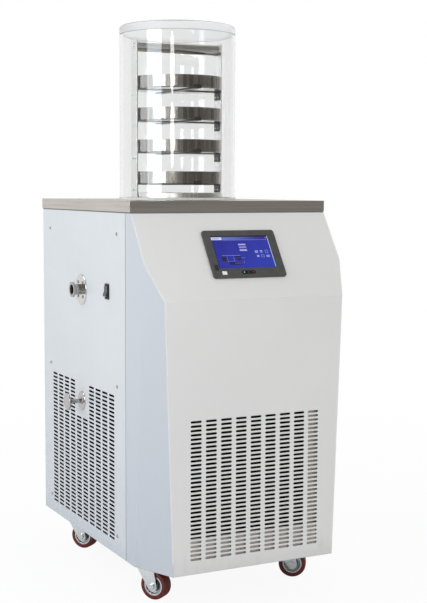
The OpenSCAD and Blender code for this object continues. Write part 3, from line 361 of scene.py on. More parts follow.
print("grille face at y =", round(grille_face, 4))
print("side face at x =", round(side_middle - side_reach, 4))
keep("front_sheet", powder_coat("warm_grey_powder_coat", (0.698, 0.696, 0.685), 0.003,
                                joint=joint_width, inside=inside_of_cover,
                                crease=painted_crease_highlight, cooler=painted_cool_faces))
# The side panels' foot factors paint them darker and bluer low down: painted shade.
keep("side_sheet", powder_coat("cool_grey_powder_coat", (0.640, 0.655, 0.672),
                               joint=joint_width, inside=inside_of_sides,
                               foot=(0.76, 0.80, 0.86)))
# Painted shade: the inner frame is coloured near black to darken the cabinet's inside.
keep("frame_paint", powder_coat("frame_dark_powder_coat", (0.055, 0.056, 0.058),
                                0.0015, 0.8, 0.45))

# %% [markdown]
# ## Brushed stainless steel
#
# The worktop, the trays and the rack are stainless sheet, ground with a belt. The belt leaves
# fine parallel scratches, which smear a reflection across their run. On the worktop's top they
# run left to right, and on its left and right edges front to back. On a bent rim they run up
# it. Noise that is squeezed along one axis and stretched along the other gives such lines. It
# feeds roughness and a very low bump, and tints the metal faintly. Shader anisotropy does the
# smearing that is too fine for the bump. Edges are painted lighter, a painted highlight. The
# trays' rims carry broad upright bands that are painted reflections. The rack is painted
# brighter than stainless, a painted highlight, and the straps under the trays take the same
# build in a tone that is nearly black, painted shade.

# %% Brushed steel
def brushed(name, colour, roughness, run="flat", smear=0.5, streak=0.16, tracks=0.25,
            bands=0.0, fold=0.0012):
    """Lines = noise(place x squeeze), with the squeeze small along the run of the scratches,
    which is level for "flat" and upright for "up". Colour and roughness follow the lines, and
    slow clouds stand for handling and wiping. Bands are broad upright stripes of painted
    reflection, and edges are painted lighter as a painted highlight."""
    steel = Finish(name, {"Metallic": 1.0, "Anisotropic": smear})
    p = steel.place
    if run == "flat":
        sideways = abs(steel.facing.part(0)).rise(0.6, 0.8)
        across = (p * (2.0, 420.0, 420.0)).noise(1.6, 3.0, 0.65)
        along = (p * (420.0, 2.0, 420.0)).noise(1.6, 3.0, 0.65)
        lines = sideways * along + (1 - sideways) * across
    else:
        lines = (p * (420.0, 420.0, 2.0)).noise(1.6, 3.0, 0.65)
    cloud = p.noise(9.0, 4.0, 0.6).rise(0.3, 0.72)
    wipe = (p * (1.0, 3.0, 1.0)).noise(26.0, 5.0, 0.6).rise(0.55, 0.8) * tracks
    edge = steel.edge_wear_and_painted_light(fold)
    shade = lines.rise(0.25, 0.75).mix(scaled(colour, 1 - streak), scaled(colour, 1 + streak))
    shade = (cloud * 0.18).mix(shade, scaled(colour, 0.86))
    # Painted reflection: broad upright bands are painted darker on the rims.
    if bands:
        pressed = (p * (70.0, 70.0, 0.5)).noise(1.0, 3.0, 0.6).rise(0.44, 0.58)
        shade = (pressed * bands).mix(shade, scaled(colour, 0.38))
    # Painted highlight: edges are painted lighter.
    shade = (edge * 0.5).mix(shade, scaled(colour, 1.35))
    steel.drive("Base Color", shade)
    steel.drive("Roughness", lines * 0.12 + (roughness - 0.06) + cloud * 0.05
                + wipe * 0.15 - edge * 0.05)
    return steel.relief(lines, 0.00003, steel.fold(fold), 0.5)


keep("worktop_steel", brushed("belt_ground_worktop", (0.55, 0.515, 0.472), 0.3, tracks=0.45))
# The trays' rims take painted reflection bands.
keep("tray_steel", brushed("rolled_tray_steel", (0.47, 0.45, 0.42), 0.12, "up", 0.3, 0.34,
                           bands=0.8))
# Painted shade: the stainless straps under the trays are coloured nearly black.
support_steel = brushed("dark_support_steel", (0.10, 0.097, 0.094), 0.3, "up", 0.3, 0.1)
# Painted highlight: the rack's stainless is coloured brighter than stainless steel is.
keep("rack_steel", brushed("ground_rack_steel", (0.86, 0.85, 0.83), 0.24, "up", 0.3, 0.06))

# %% [markdown]
# ## Polished steel
#
# The rack's handle and the trap are buffed until they mirror. What keeps them from looking like
# plastic chrome is what the lathe leaves: faint rings round the axis. The vacuum port, its plate
# and the drain knob are turned the same way. The port and the knob are darker copies of the
# buffed steel, painted shade, and the three carry a painted dark line along their edges, while
# the buffed parts' edges carry a painted highlight. A ring pattern could be painted on a UV map,
# but the distance from the turning axis gives it on any shape.

# %% Polished steel
edge_shade = (0.06, 0.06, 0.058)


def turned(name, colour, roughness, axis_at, ring=900.0, rim=(0.95, 0.95, 0.94), fold=0.0006):
    """Rings = sine(ring x distance from the turning axis, which runs along X), broken up by
    noise. Edges within fold of a corner take the rim colour, a painted highlight when it is
    light and painted shade when it is dark."""
    metal = Finish(name, {"Metallic": 1.0})
    p = metal.place
    off = (p - axis_at) * (0.0, 1.0, 1.0)
    rings = (off.length() * ring + p.noise(60.0, 2.0) * 1.5).wave() * 0.5 + 0.5
    haze = p.noise(70.0, 5.0, 0.6).rise(0.45, 0.8)
    edge = metal.edge_wear_and_painted_light(fold)
    shade = (haze * 0.25).mix(colour, scaled(colour, 0.82))
    # Edges take the rim colour: a painted highlight when it is light, painted shade when it is dark.
    shade = (edge * 0.75).mix(shade, rim)
    metal.drive("Base Color", shade)
    metal.drive("Roughness", haze * 0.1 + roughness + rings * 0.03)
    return metal.relief(rings, 0.00001, metal.fold(0.0006), 0.35)


def middle_of(node):
    """The middle of a CAD node's box."""
    low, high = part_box(node)
    return tuple((low + high) / 2)


port_middle = middle_of("port_plate")
keep("polished_steel", turned("buffed_steel", (0.66, 0.645, 0.62), 0.07, port_middle))
# Painted shade: the port is a darker copy of the buffed steel.
port_steel = turned("dark_port_steel", (0.40, 0.385, 0.37), 0.1, port_middle,
                    rim=edge_shade, fold=0.0011)
plate_steel = turned("bright_plate_steel", (0.62, 0.61, 0.59), 0.05, port_middle,
                     rim=edge_shade, fold=0.0011)
# Painted shade: the knob and rosette are a darker copy of the buffed steel.
knob_steel = turned("grey_knob_steel", (0.44, 0.42, 0.415), 0.12, middle_of("drain_knob"),
                    rim=edge_shade, fold=0.0013)
print("port and knob turned round", [round(c, 3) for c in port_middle + middle_of("drain_knob")])

# %% [markdown]
# ## Zinc plate
#
# The screws and the casters are zinc plated: brighter and bluer than steel, a little blotchy,
# with a hint of yellow in the passivated film. Zinc freezes in crystals, so each cell of a
# Voronoi texture gets its own slight tone, and slow noise makes the blotches.

# %% Zinc plate
def zinc_plate(name, colour, roughness):
    """Spangle cells and slow blotches tint the plating between steel blue and straw yellow."""
    plate = Finish(name, {"Metallic": 1.0})
    p = plate.place
    spangle = p.cells(260.0, out=1).part(0)
    blotch = p.noise(55.0, 4.0, 0.6).rise(0.3, 0.7)
    edge = plate.edge_wear_and_painted_light(0.0005)
    shade = blotch.mix(scaled(colour, (0.95, 0.98, 1.02)), scaled(colour, (1.03, 1.0, 0.93)))
    shade = (spangle * 0.12).mix(shade, scaled(colour, 0.8))
    # Painted highlight: edges are painted lighter.
    shade = (edge * 0.5).mix(shade, (0.93, 0.94, 0.95))
    plate.drive("Base Color", shade)
    plate.drive("Roughness", roughness + spangle * 0.08 + blotch * 0.06)
    return plate.relief(p.noise(700.0, 3.0), 0.00004, plate.fold(0.0005), 0.3)


keep("zinc", zinc_plate("bright_zinc", (0.76, 0.775, 0.79), 0.22))
# Painted shade: the screw heads are a darker copy of the zinc plate.
screw_steel = zinc_plate("grey_screw_steel", (0.36, 0.365, 0.37), 0.3)

# %% [markdown]
# ## Clear acrylic
#
# The bell is a cast acrylic tube with a lid glued on. Clear plastic is a Principled shader with
# full transmission and an index near 1.5. Path tracing can't find lamps through bent glass,
# which leaves the trays inside too dark, so rays on their way to a lamp pass straight through:
# a Transparent shader is mixed in for them. Real bells aren't spotless: a hair-fine haze of
# cleaning marks shows in the roughness.

# %% Bell tube
def clear(name, tone):
    """Clear plastic that passes this share of red, green and blue."""
    return Finish(name, {"Transmission Weight": 1.0, "IOR": 1.46, "Base Color": (*tone, 1)})


def open_to_lamps(finish, surface):
    """Show the surface, but let rays that look for a lamp pass straight through it."""
    straight = surface.make("ShaderNodeBsdfTransparent", {}, {"Color": (0.96, 0.97, 0.97, 1)})
    to_lamp = surface.make("ShaderNodeLightPath", out=1)
    finish.show(surface.make("ShaderNodeMixShader", {}, {0: to_lamp, 1: surface, 2: straight}))


acrylic = clear("cast_acrylic", (0.91, 0.915, 0.915))
marks = (acrylic.place * (90.0, 90.0, 7.0)).noise(1.0, 4.0, 0.6).rise(0.6, 0.85)
acrylic.drive("Roughness", marks * 0.02 + 0.004)
open_to_lamps(acrylic, Wire(acrylic.shader.outputs[0]))
keep("acrylic", acrylic)

# %% [markdown]
# ## The sawn lid
#
# The lid is a disc sawn from sheet. Its faces are as clear as the tube, but the rim keeps the
# frosted look of the cut. Roughness alone only blurs what is behind the rim. Frosted plastic
# also scatters light inside itself, so a share of white diffuse plastic is mixed in where the
# surface faces sideways, and the share follows the level lines that the saw left.

# %% Bell lid
lid_plastic = clear("sawn_acrylic_lid", (0.96, 0.96, 0.96))
sideways = 1 - abs(lid_plastic.facing.part(2)).rise(0.35, 0.8)
sawn = (lid_plastic.place * (60.0, 60.0, 600.0)).noise(1.0, 4.0, 0.6).rise(0.3, 0.75)
lid_plastic.drive("Roughness", sideways * 0.4 + 0.01)
frost = sawn.make("ShaderNodeBsdfDiffuse", {}, {"Color": (0.92, 0.92, 0.92, 1)})
frosted = sawn.make("ShaderNodeMixShader", {}, {0: sideways * (sawn * 0.12 + 0.24),
                                                1: Wire(lid_plastic.shader.outputs[0]), 2: frost})
open_to_lamps(lid_plastic, frosted)
print("lid finished with", len(lid_plastic.tree.nodes), "nodes")

# %% [markdown]
# ## Rubber, plastic and enamel
#
# Moulded parts share one build: a colour with a slow mottle, a moulding texture as bump, and a
# paler, duller rubbed edge. What differs is the scale and depth of the texture, the gloss and
# how much dust the piece holds. Black is never zero: real blacks are about 2 to 4 percent.

# %% Moulded materials
def moulded(name, colour, roughness, texture=900.0, depth=0.00008, dust=0.0, rub=0.35,
            fold=0.0008, level=None):
    """Colour = mottle x colour, dust where the surface faces up, paler on rubbed edges.
    Height = the mould's fine leather texture."""
    plastic = Finish(name, level or {})
    p = plastic.place
    mottle = p.noise(45.0, 4.0, 0.6).rise(0.3, 0.7)
    edge = plastic.edge_wear_and_painted_light(fold)
    flecks = p.noise(120.0, 6.0, 0.65).rise(0.35, 0.75)
    settled = plastic.facing.part(2).rise(0.2, 0.95) * flecks * dust
    shade = mottle.mix(scaled(colour, 0.88), scaled(colour, 1.1))
    shade = (edge * rub).mix(shade, tuple(min(1.0, 1.8 * c + 0.03) for c in colour))
    shade = settled.mix(shade, (0.34, 0.33, 0.31))
    plastic.drive("Base Color", shade)
    plastic.drive("Roughness", roughness + mottle * 0.06 + settled * 0.3 + edge * 0.04)
    peaks = p.cells(texture) * 0.6 + p.noise(texture * 1.7, 2.0) * 0.4
    return plastic.relief(peaks, depth, plastic.fold(fold), 0.5)


keep("black_plastic", moulded("black_moulding", (0.022, 0.022, 0.024), 0.38, dust=0.25))
keep("rocker_plastic", moulded("glossy_rocker", (0.026, 0.026, 0.028), 0.14, 500.0, 0.00002))
# The bezel's edges are painted paler, partly wear and partly a painted highlight.
keep("bezel_plastic", moulded("grey_bezel_moulding", (0.066, 0.068, 0.066), 0.42, 1400.0, 0.00004,
                              rub=0.5))
keep("seal_rubber", moulded("pale_silicone", (0.70, 0.70, 0.67), 0.42, 500.0, 0.00004,
                            level={"Subsurface Weight": 0.15, "Subsurface Scale": 0.004}))
keep("foot_rubber", moulded("black_rubber", (0.03, 0.03, 0.031), 0.6, 350.0, 0.00015, 0.5))
keep("motor_paint", moulded("motor_enamel", (0.07, 0.075, 0.082), 0.4, 420.0, 0.00008, 0.6,
                            fold=0.0015))
keep("compressor_enamel", moulded("black_enamel", (0.019, 0.02, 0.022), 0.22, 160.0, 0.00012,
                                  0.55, fold=0.002))

# %% [markdown]
# ## Polyurethane tyres
#
# The tyres are poured polyurethane, dark red like cherry jelly. Light goes a few tenths of a
# millimetre in, which a small subsurface share stands for. The tread that rolls on the floor
# is scuffed dull and picks up dirt, and the flanks keep their gloss, so the mask is how far a
# point is from the axle. A wheel turns with its body, and the mesh is drawn in the machine's
# frame at rest, so distance from the axle can't be told from height: each wheel has its
# own axle line, found from the box of its hub, and its own copy of the finish. The same distance
# finds the pressed grooves of the zinc hubs, which are painted dark as painted shade.

# %% Tyres
def off_axle(place, number):
    """Distance from one wheel's axle line: the root of |p - c|^2 - ((p - c) . axle)^2."""
    wheel = ["front_left", "front_right", "rear_left", "rear_right"][number - 1] + "_wheel"
    bolt = next(j["axis"] for j in frame["joints"] if j["child"] == wheel)
    off = place - middle_of(f"caster_hub_{number}")
    along = off.dot(tuple(bolt))
    return (off.length() ** 2.0 - along * along) ** 0.5


def tyre_finish(number):
    """Scuff = rise of the distance from the axle line, broken up by a grain."""
    rubber = Finish(f"red_polyurethane_{number}", {
        "IOR": 1.5, "Subsurface Weight": 0.12, "Subsurface Scale": 0.003,
        "Subsurface Radius": (1.0, 0.25, 0.15)})
    p = rubber.place
    tread = off_axle(p, number).rise(0.0338, 0.0358)
    grain = p.noise(260.0, 5.0, 0.65)
    scuff = tread * grain.rise(0.3, 0.62)
    swirl = p.noise(50.0, 3.0).rise(0.3, 0.7)
    shade = swirl.mix((0.115, 0.008, 0.006), (0.165, 0.014, 0.009))
    shade = (scuff * 0.45).mix(shade, (0.10, 0.055, 0.045))
    rubber.drive("Base Color", shade)
    rubber.drive("Roughness", 0.24 + scuff * 0.38 + swirl * 0.05)
    height = grain * tread + p.noise(1500.0, 2.0) * 0.2
    return rubber.relief(height, 0.0002, rubber.fold(0.001), 0.5)


def hub_finish(number):
    """Pressed zinc with painted shade in three grooves, which are bands of distance from the axle."""
    hub = zinc_plate(f"pressed_zinc_hub_{number}", (0.74, 0.77, 0.80), 0.25)
    radius = off_axle(hub.place, number)
    inner, middle = radius.bar(0.0062, 0.0084, 0.0006), radius.bar(0.0128, 0.0160, 0.0008)
    grooves = inner.max(middle).max(radius.bar(0.0192, 0.0202, 0.0004) * 0.7)
    # Painted shade in the grooves, broken up by noise.
    dust_and_shade = grooves * (hub.place.noise(300.0, 4.0, 0.6).rise(0.2, 0.6) * 0.35 + 0.6)
    clean = Wire(hub.shader.inputs["Base Color"].links[0].from_socket)
    hub.drive("Base Color", dust_and_shade.mix(clean, (0.045, 0.05, 0.055)))
    return hub


wheels = {f"caster_tyre_{n}": tyre_finish(n).material for n in (1, 2, 3, 4)}
wheels.update({f"caster_hub_{n}": hub_finish(n).material for n in (1, 2, 3, 4)})
print(len(wheels), "tyres and hubs, each round its own axle")

# %% [markdown]
# ## Copper, brass and aluminium
#
# Refrigerant pipe is soft copper that has browned in air. The drain valve is cast brass. The
# fan is thin aluminium with a rolled grain, and the condenser's fins are aluminium under a matt
# black coat. Bare metals share one build: two sizes of noise say where a film has grown, and
# the film takes both the colour and the shine away.

# %% Copper and brass
def aged(name, colour, tarnish, roughness):
    """Colour = bare metal to tarnish, by two sizes of noise, and duller where it's tarnished."""
    metal = Finish(name, {"Metallic": 1.0})
    p = metal.place
    film = (p.noise(28.0, 5.0, 0.62) * 0.65 + p.noise(160.0, 4.0, 0.6) * 0.35).rise(0.38, 0.66)
    edge = metal.edge_wear_and_painted_light(0.0008)
    shade = film.mix(colour, tarnish)
    shade = (edge * 0.5).mix(shade, colour)
    metal.drive("Base Color", shade)
    metal.drive("Roughness", roughness + film * 0.22)
    return metal.relief(p.noise(900.0, 3.0), 0.00004, metal.fold(0.0008), 0.4)


keep("copper", aged("drawn_copper", (0.80, 0.40, 0.24), (0.30, 0.13, 0.08), 0.24))
keep("brass", aged("cast_brass", (0.73, 0.55, 0.27), (0.36, 0.25, 0.12), 0.3))
keep("fin_aluminium", aged("rolled_aluminium", (0.80, 0.81, 0.82), (0.55, 0.56, 0.57), 0.3))
fin_coat = moulded("black_fin_coat", (0.016, 0.017, 0.019), 0.45, 300.0, 0.00003, 0.4)

# %% [markdown]
# ## Poured foam
#
# The cold trap sits in foam that was poured round it, and its skin is full of small craters.
# The distance to the nearest Voronoi seed gives the craters, and slow noise the lumps. The foam
# is deep inside the cabinet, so bump is enough, and the mesh stays as it is.

# %% Poured foam
foam = Finish("poured_foam", {"Roughness": 0.85})
craters = foam.place.cells(330.0)
lumps = foam.place.noise(30.0, 5.0, 0.6)
foam.drive("Base Color", lumps.rise(0.3, 0.7).mix((0.62, 0.53, 0.30), (0.78, 0.70, 0.46)))
foam.relief(craters * 0.5 + lumps * 1.4, 0.0012, foam.fold(0.003))
keep("foam", foam)

# %% [markdown]
# ## Screen glass
#
# The touch screen is dark glass under a clear coat. What tells it from black plastic is that it
# stays sharp in reflections but for finger marks, which are a mask on its roughness.

# %% Screen glass
screen_glass = Finish("dark_screen_glass", {"IOR": 1.5, "Coat Weight": 0.5, "Coat Roughness": 0.04})
smudge = screen_glass.place.noise(60.0, 5.0, 0.65).rise(0.45, 0.75)
screen_glass.drive("Base Color", smudge.mix((0.012, 0.013, 0.03), (0.022, 0.023, 0.045)))
screen_glass.drive("Roughness", smudge * 0.16 + 0.06)
keep("screen", screen_glass)

# %% [markdown]
# ## Dressing the CAD nodes
#
# Each CAD node names a material slot in the record, so one loop gives every node its finish. A
# few nodes share a slot but not a look, and take a finish of their own. The meshes stay as they
# are: a finish goes onto the object's own material slot.

# %% Dress
own_finish = {**wheels, "shelf_supports": support_steel.material, "bell_lid": lid_plastic.material,
              "vacuum_port": port_steel.material, "port_plate": plate_steel.material,
              "drain_knob": knob_steel.material, "drain_rosette": knob_steel.material}
for piece in record["subparts"]:
    name, slot = piece["node"], piece["material_slot"]
    cad[name].material_slots[0].material = own_finish.get(name) or finishes[slot]
print(len(record["subparts"]), "nodes dressed from", len(finishes), "finishes")

# %% [markdown]
# ## Making a surface from a grid
#
# A new piece is a grid of points, worked out with numpy for all its rows and columns at once.
# Neighbouring points make the four-sided faces. A grid that runs round an axis is closed by
# joining its last column to its first, and its first and last rows shrink to one point each, so
# that the ends are closed without a seam.

# %% Grid to mesh
def faces_of(rows, columns, round_way=True, shift=0):
    """Quads between (i, j), (i, j+1), (i+1, j+1) and (i+1, j), with j + 1 wrapped round."""
    i, j = np.mgrid[0:rows - 1, 0:columns if round_way else columns - 1]
    k = (j + 1) % columns
    this, after = i * columns, (i + 1) * columns
    return np.stack([this + j, this + k, after + k, after + j], -1).reshape(-1, 4) + shift


def new_piece(name, points, faces, slot, material, smooth=35.0, tint=None):
    """A mesh from arrays, its doubled points merged, its faces turned outwards, and shaded
    smooth up to an angle of smooth degrees. tint is one colour for each face. Every piece of
    this lesson stands on the cabinet, so it rides on that body."""
    mesh = bpy.data.meshes.new(name)
    mesh.from_pydata(points.reshape(-1, 3).tolist(), [], faces.tolist())
    if tint is not None:
        layer = mesh.attributes.new("tint", "FLOAT_COLOR", "FACE")
        layer.data.foreach_set("color", np.asarray(tint, np.float32).ravel())
    piece = bpy.data.objects.new(name, mesh)
    bpy.context.scene.collection.objects.link(piece)
    work = bmesh.new()
    work.from_mesh(mesh)
    bmesh.ops.remove_doubles(work, verts=work.verts, dist=2e-6)
    bmesh.ops.recalc_face_normals(work, faces=work.faces)
    work.to_mesh(mesh)
    work.free()
    mesh.shade_smooth()
    mesh.set_sharp_from_angle(angle=math.radians(smooth))
    mesh.materials.append(material)
    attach(piece, "cabinet")
    print(name, len(mesh.polygons), "faces")
    return piece


# %% [markdown]
# ## Reading a CAD node
#
# Some new pieces have to sit exactly on a CAD solid, so its points are read back.
# `foreach_get` copies them all into one flat array. One node can also hold many separate
# solids, such as all the screws. Walking from face to face would tell them apart, but spreading
# labels over whole arrays does it in a few lines and is much faster.

# %% Reading a CAD node
def points_of(node):
    """Every point of a CAD node's mesh, as rows of x, y and z."""
    mesh = cad[node].data
    co = np.empty(len(mesh.vertices) * 3, np.float32)
    mesh.vertices.foreach_get("co", co)
    return co.reshape(-1, 3)


def corners_of(mesh):
    """Which point stands at each corner of each face, face after face."""
    corner = np.empty(len(mesh.loops), np.int32)
    mesh.loops.foreach_get("vertex_index", corner)
    return corner


def loose_parts(node):
    """(lowest, highest) corners of each separate solid in a CAD node. Points at one place share
    a label, and each face's corners take their smallest label until nothing changes."""
    co = points_of(node)
    _, place = np.unique(np.round(co, 6), axis=0, return_inverse=True)
    place = place.ravel()
    triples = place[corners_of(cad[node].data)].reshape(-1, 3)
    label = np.arange(place.max() + 1)
    while True:
        least = label[triples].min(1)
        after = label.copy()
        for c in range(3):
            np.minimum.at(after, triples[:, c], least)
        after = after[after]
        if (after == label).all():
            break
        label = after
    mine = label[place]
    return [(co[mine == k].min(0), co[mine == k].max(0)) for k in np.unique(mine)]


print("the rack has", len(loose_parts("rack_legs")), "legs")

# %% [markdown]
# ## Pan-head screws
#
# The panels and the rack are held by small pan-head screws with a cross recess. The head is
# a flattened dome, and the cross is two narrow grooves that get deeper towards the middle. One
# function of radius and angle gives the whole screw: the dome less the cross on top, straight
# down the rim, in under the head and down the shank. The same screw is then copied onto each
# place that the CAD model holds, turned a little differently each time, as hands leave them.

# %% Screw form
head_tall = 0.0024
first_twist, twist_step = 0.7, 1.13  # radians


def screw_form(grip, head=0.004, shank=0.002, around=32):
    """Rows go from the middle of the head, out over the dome, down the rim, in to the shank and
    down to its tip. Dome: z = tall x sqrt(1 - (r / head)^4). Cross: two grooves, each as deep as
    1 - (along / reach)^2 where the distance across is under its half width."""
    turn = np.linspace(0, 2 * np.pi, around, endpoint=False)[None, :]
    r = head * np.array([0.0, 0.1, 0.2, 0.3, 0.42, 0.54, 0.66, 0.78, 0.9, 0.97, 1.0])[:, None]
    x, y = r * np.cos(turn), r * np.sin(turn)
    dome = head_tall * np.sqrt(np.clip(1 - (r / head) ** 4, 0, 1)) + 0 * turn
    reach, half = 0.62 * head, 0.15 * head
    cross = [np.clip(1 - (a / reach) ** 2, 0, 1) * np.clip(1.6 - np.abs(b) / half, 0, 1)
             for a, b in ((x, y), (y, x))]
    top = np.stack([x, y, dome - 0.62 * head_tall * np.minimum(1, np.maximum(*cross))], -1)
    r, z = np.array([(head, 0.0), (shank, 0.0), (shank, -grip), (0.0, -grip)]).T[..., None]
    rest = np.stack([r * np.cos(turn), r * np.sin(turn), z + 0 * turn], -1)
    return np.concatenate([top, rest])


print("a screw is a grid of", screw_form(0.006).shape[:2], "points")

# %% A screw at each place
def screws(name, node, slot, outward, grip, material):
    """One screw at each solid of a CAD node. outward(low, high) gives the way its head faces,
    which is level for all of them."""
    form = screw_form(grip)
    flat, points, faces = form.reshape(-1, 3), [], []
    for number, (low, high) in enumerate(loose_parts(node)):
        way = np.array(outward(low, high), float)
        middle = (low + high) / 2
        face = np.where(way > 0, high, np.where(way < 0, low, middle)) - way * head_tall
        side = np.cross(way, (0.0, 0.0, 1.0))
        over = np.cross(way, side)
        twist = first_twist + number * twist_step
        a = side * math.cos(twist) + over * math.sin(twist)
        b = over * math.cos(twist) - side * math.sin(twist)
        points.append(face + flat @ np.stack([a, b, way]))
        faces.append(faces_of(*form.shape[:2], shift=number * len(flat)))
    points, faces = np.concatenate(points), np.concatenate(faces)
    piece = new_piece(name, points, faces, slot, material, smooth=50.0)
    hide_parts(node)


middle_x = middle_of("worktop")[0]
rear_screws_from = 0.355  # y


def sideways_out(low, high):
    """Left or right, away from the machine's middle."""
    return (1, 0, 0) if low[0] + high[0] > 2 * middle_x else (-1, 0, 0)


def out_of_panel(low, high):
    """Back for the rear panel's screws, and sideways for the rest."""
    return (0, 1, 0) if low[1] > rear_screws_from else sideways_out(low, high)


screws("panel_screw_heads", "panel_screws", "zinc", out_of_panel, 0.006, screw_steel.material)
screws("rack_screw_heads", "rack_screws", "zinc", sideways_out, 0.0066, finishes["zinc"])

# %% [markdown]
# ## A filter mat behind the rear vents
#
# A cabinet with vents on three sides would be see-through, and daylight would show in the
# louvres. A mat of black open foam inside the rear vents keeps dust and daylight out. It's a
# thick sheet whose faces are quilted: the height is a product of two sines, which is zero at
# the rim, where both faces meet.

# %% Filter mat
def mat_grid(low, high, tufts=(40, 24), rows=90, columns=120, deep=0.0016):
    """Rows run up the front face, over the top rim and down the back, and the side rims close
    on their middle line. Quilting = deep x |sin u sin v|, with this many tufts each way."""
    u, v = np.meshgrid(np.linspace(0, 1, columns), np.linspace(0, 1, rows))
    bulge = deep * np.abs(np.sin(u * tufts[0] * np.pi) * np.sin(v * tufts[1] * np.pi))
    x, z = low[0] + u * (high[0] - low[0]), low[2] + v * (high[2] - low[2])
    near = np.stack([x, low[1] + deep - bulge, z], -1)
    back = np.stack([x, high[1] - deep + bulge, z], -1)[::-1]
    rim = np.concatenate([near, back])
    left, right = rim[:, :1] * 1.0, rim[:, -1:] * 1.0
    left[..., 1] = right[..., 1] = (low[1] + high[1]) / 2
    around = np.concatenate([left, rim, right], 1)
    return np.concatenate([around, around[:1]])


def foam_mat(name, grid):
    """A mat of filter foam from its grid."""
    new_piece(name, grid, faces_of(*grid.shape[:2], round_way=False), "foot_rubber", mat_foam)


mat_foam = moulded("black_filter_foam", (0.012, 0.012, 0.013), 0.85, 420.0, 0.0006, 0.5).material
mat_low, mat_high = (-0.175, 0.3545, 0.140), (0.216, 0.3640, 0.400)  # just clear of the panel
foam_mat("rear_filter_mat", mat_grid(mat_low, mat_high))

# %% [markdown]
# ## The condenser
#
# Behind the front grille stands the condenser: copper tube that runs to and fro through thin
# aluminium fins, about two millimetres apart. In CAD it is one block. Here every fin is a thin
# plate of its own, only six faces each because there are so many, between two end plates. An
# Array modifier would do it too, but one array of corners makes all the plates at once.

# %% Fins and end plates
box_sides = np.array([[0, 2, 3, 1], [4, 5, 7, 6], [0, 1, 5, 4], [2, 6, 7, 3], [0, 4, 6, 2],
                      [1, 3, 7, 5]])


def box_faces(count):
    """The faces of this many boxes, each with eight corners in the order of `boxes`."""
    return (box_sides[None] + 8 * np.arange(count)[:, None, None]).reshape(-1, 4)


def boxes(lows, highs):
    """Corners and faces of many boxes at once: corner k takes low or high on x, y and z by the
    lowest, middle and highest bit of k."""
    lows, highs = np.array(lows), np.array(highs)
    bits = np.array([[(k >> a) & 1 for a in range(3)] for k in range(8)])
    points = np.where(bits[None], highs[:, None], lows[:, None])
    return points.reshape(-1, 3), box_faces(len(points))


cond_low, cond_high = (np.array(c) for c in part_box("condenser"))
bend_out = 0.015  # from an end plate to the box's side
end_left, end_right = cond_low[0] + bend_out, cond_high[0] - bend_out
fin_count, fin_half = 176, 0.00012
end_gap, fin_inset, fin_foot, fin_head = 0.0035, 0.003, 0.010, 0.004
fin_lows = np.tile(cond_low + [0, fin_inset, fin_foot], (fin_count, 1))
fin_highs = np.tile(cond_high - [0, fin_inset, fin_head], (fin_count, 1))
fin_x = np.linspace(end_left + end_gap, end_right - end_gap, fin_count)
fin_lows[:, 0], fin_highs[:, 0] = fin_x - fin_half, fin_x + fin_half
fins = new_piece("condenser_fins", *boxes(fin_lows, fin_highs), "fin_aluminium", fin_coat.material)
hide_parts("condenser")

plate_thick = 0.002
plate_lows = np.array([[end_left - 0.0005, *cond_low[1:]], [end_right - 0.0015, *cond_low[1:]]])
plate_size = np.array([plate_thick, *(cond_high - cond_low)[1:]])
new_piece("condenser_end_plates", *boxes(plate_lows, plate_lows + plate_size), "fin_aluminium",
          finishes["zinc"])

# %% [markdown]
# ## The condenser's tubes
#
# Seven level loops of tube run through the fins and turn back in a half circle outside each end
# plate. A curve object with a round bevel would look the same. Here each tube is a circle that
# is carried along its line, which keeps the number of faces in hand and needs no conversion.

# %% Tubes and return bends
def tube_along(path, radius, around=16):
    """Circles of this radius, square to a level path: across = (-ahead.y, ahead.x, 0), up = z."""
    ahead = np.gradient(path, axis=0)
    ahead /= np.linalg.norm(ahead, axis=1)[:, None]
    across = np.stack([-ahead[:, 1], ahead[:, 0], 0 * ahead[:, 0]], -1)
    turn = np.linspace(0, 2 * np.pi, around, endpoint=False)
    ring = np.cos(turn)[:, None] * across[:, None] + np.sin(turn)[:, None] * np.array((0, 0, 1.0))
    return path[:, None] + radius * ring


tube_loops, tube_radius, bend_radius = 7, 0.0045, 0.011
plate_foot = 0.006  # the end plates reach this far below the fins' block
tube_middle = (cond_low[1] + cond_high[1]) / 2
bend = np.linspace(-np.pi / 2, np.pi / 2, 13)
half_loop = np.stack([np.cos(bend), np.sin(bend)], -1) * bend_radius
# Each bend bulges past its plate, and the straight tubes run between the two bends.
loop = np.concatenate([half_loop + [end_right, 0], -half_loop + [end_left, 0]])
block_foot = cond_low[2] + plate_foot
tube_points, tube_faces = [], []
for row in range(tube_loops):
    level = block_foot + (row + 0.5) * (cond_high[2] - block_foot) / tube_loops
    line = np.stack([loop[:, 0], loop[:, 1] + tube_middle, np.full(len(loop), level)], -1)
    closed = np.concatenate([line[-1:], line, line[:1]])
    ring = tube_along(closed, tube_radius)[1:-1]
    ring = np.concatenate([ring, ring[:1]])
    tube_points.append(ring.reshape(-1, 3))
    tube_faces.append(faces_of(*ring.shape[:2], shift=row * ring.shape[0] * ring.shape[1]))
new_piece("condenser_tubes", np.concatenate(tube_points), np.concatenate(tube_faces), "copper",
          finishes["copper"])

# %% [markdown]
# ## Seals round the condenser
#
# A fan takes the easiest way, so every gap round the condenser is closed, or warm air would go
# round and round. Above the fins lies a strip of the same foam as at the rear. Below them a
# pale sheet, folded to an L, stands close behind the grille's lowest louvres, and a narrow one
# covers the side where the bends are. They are plain boxes a millimetre thick: only slits of
# them are ever seen, but without them the louvres would show daylight or plain black.

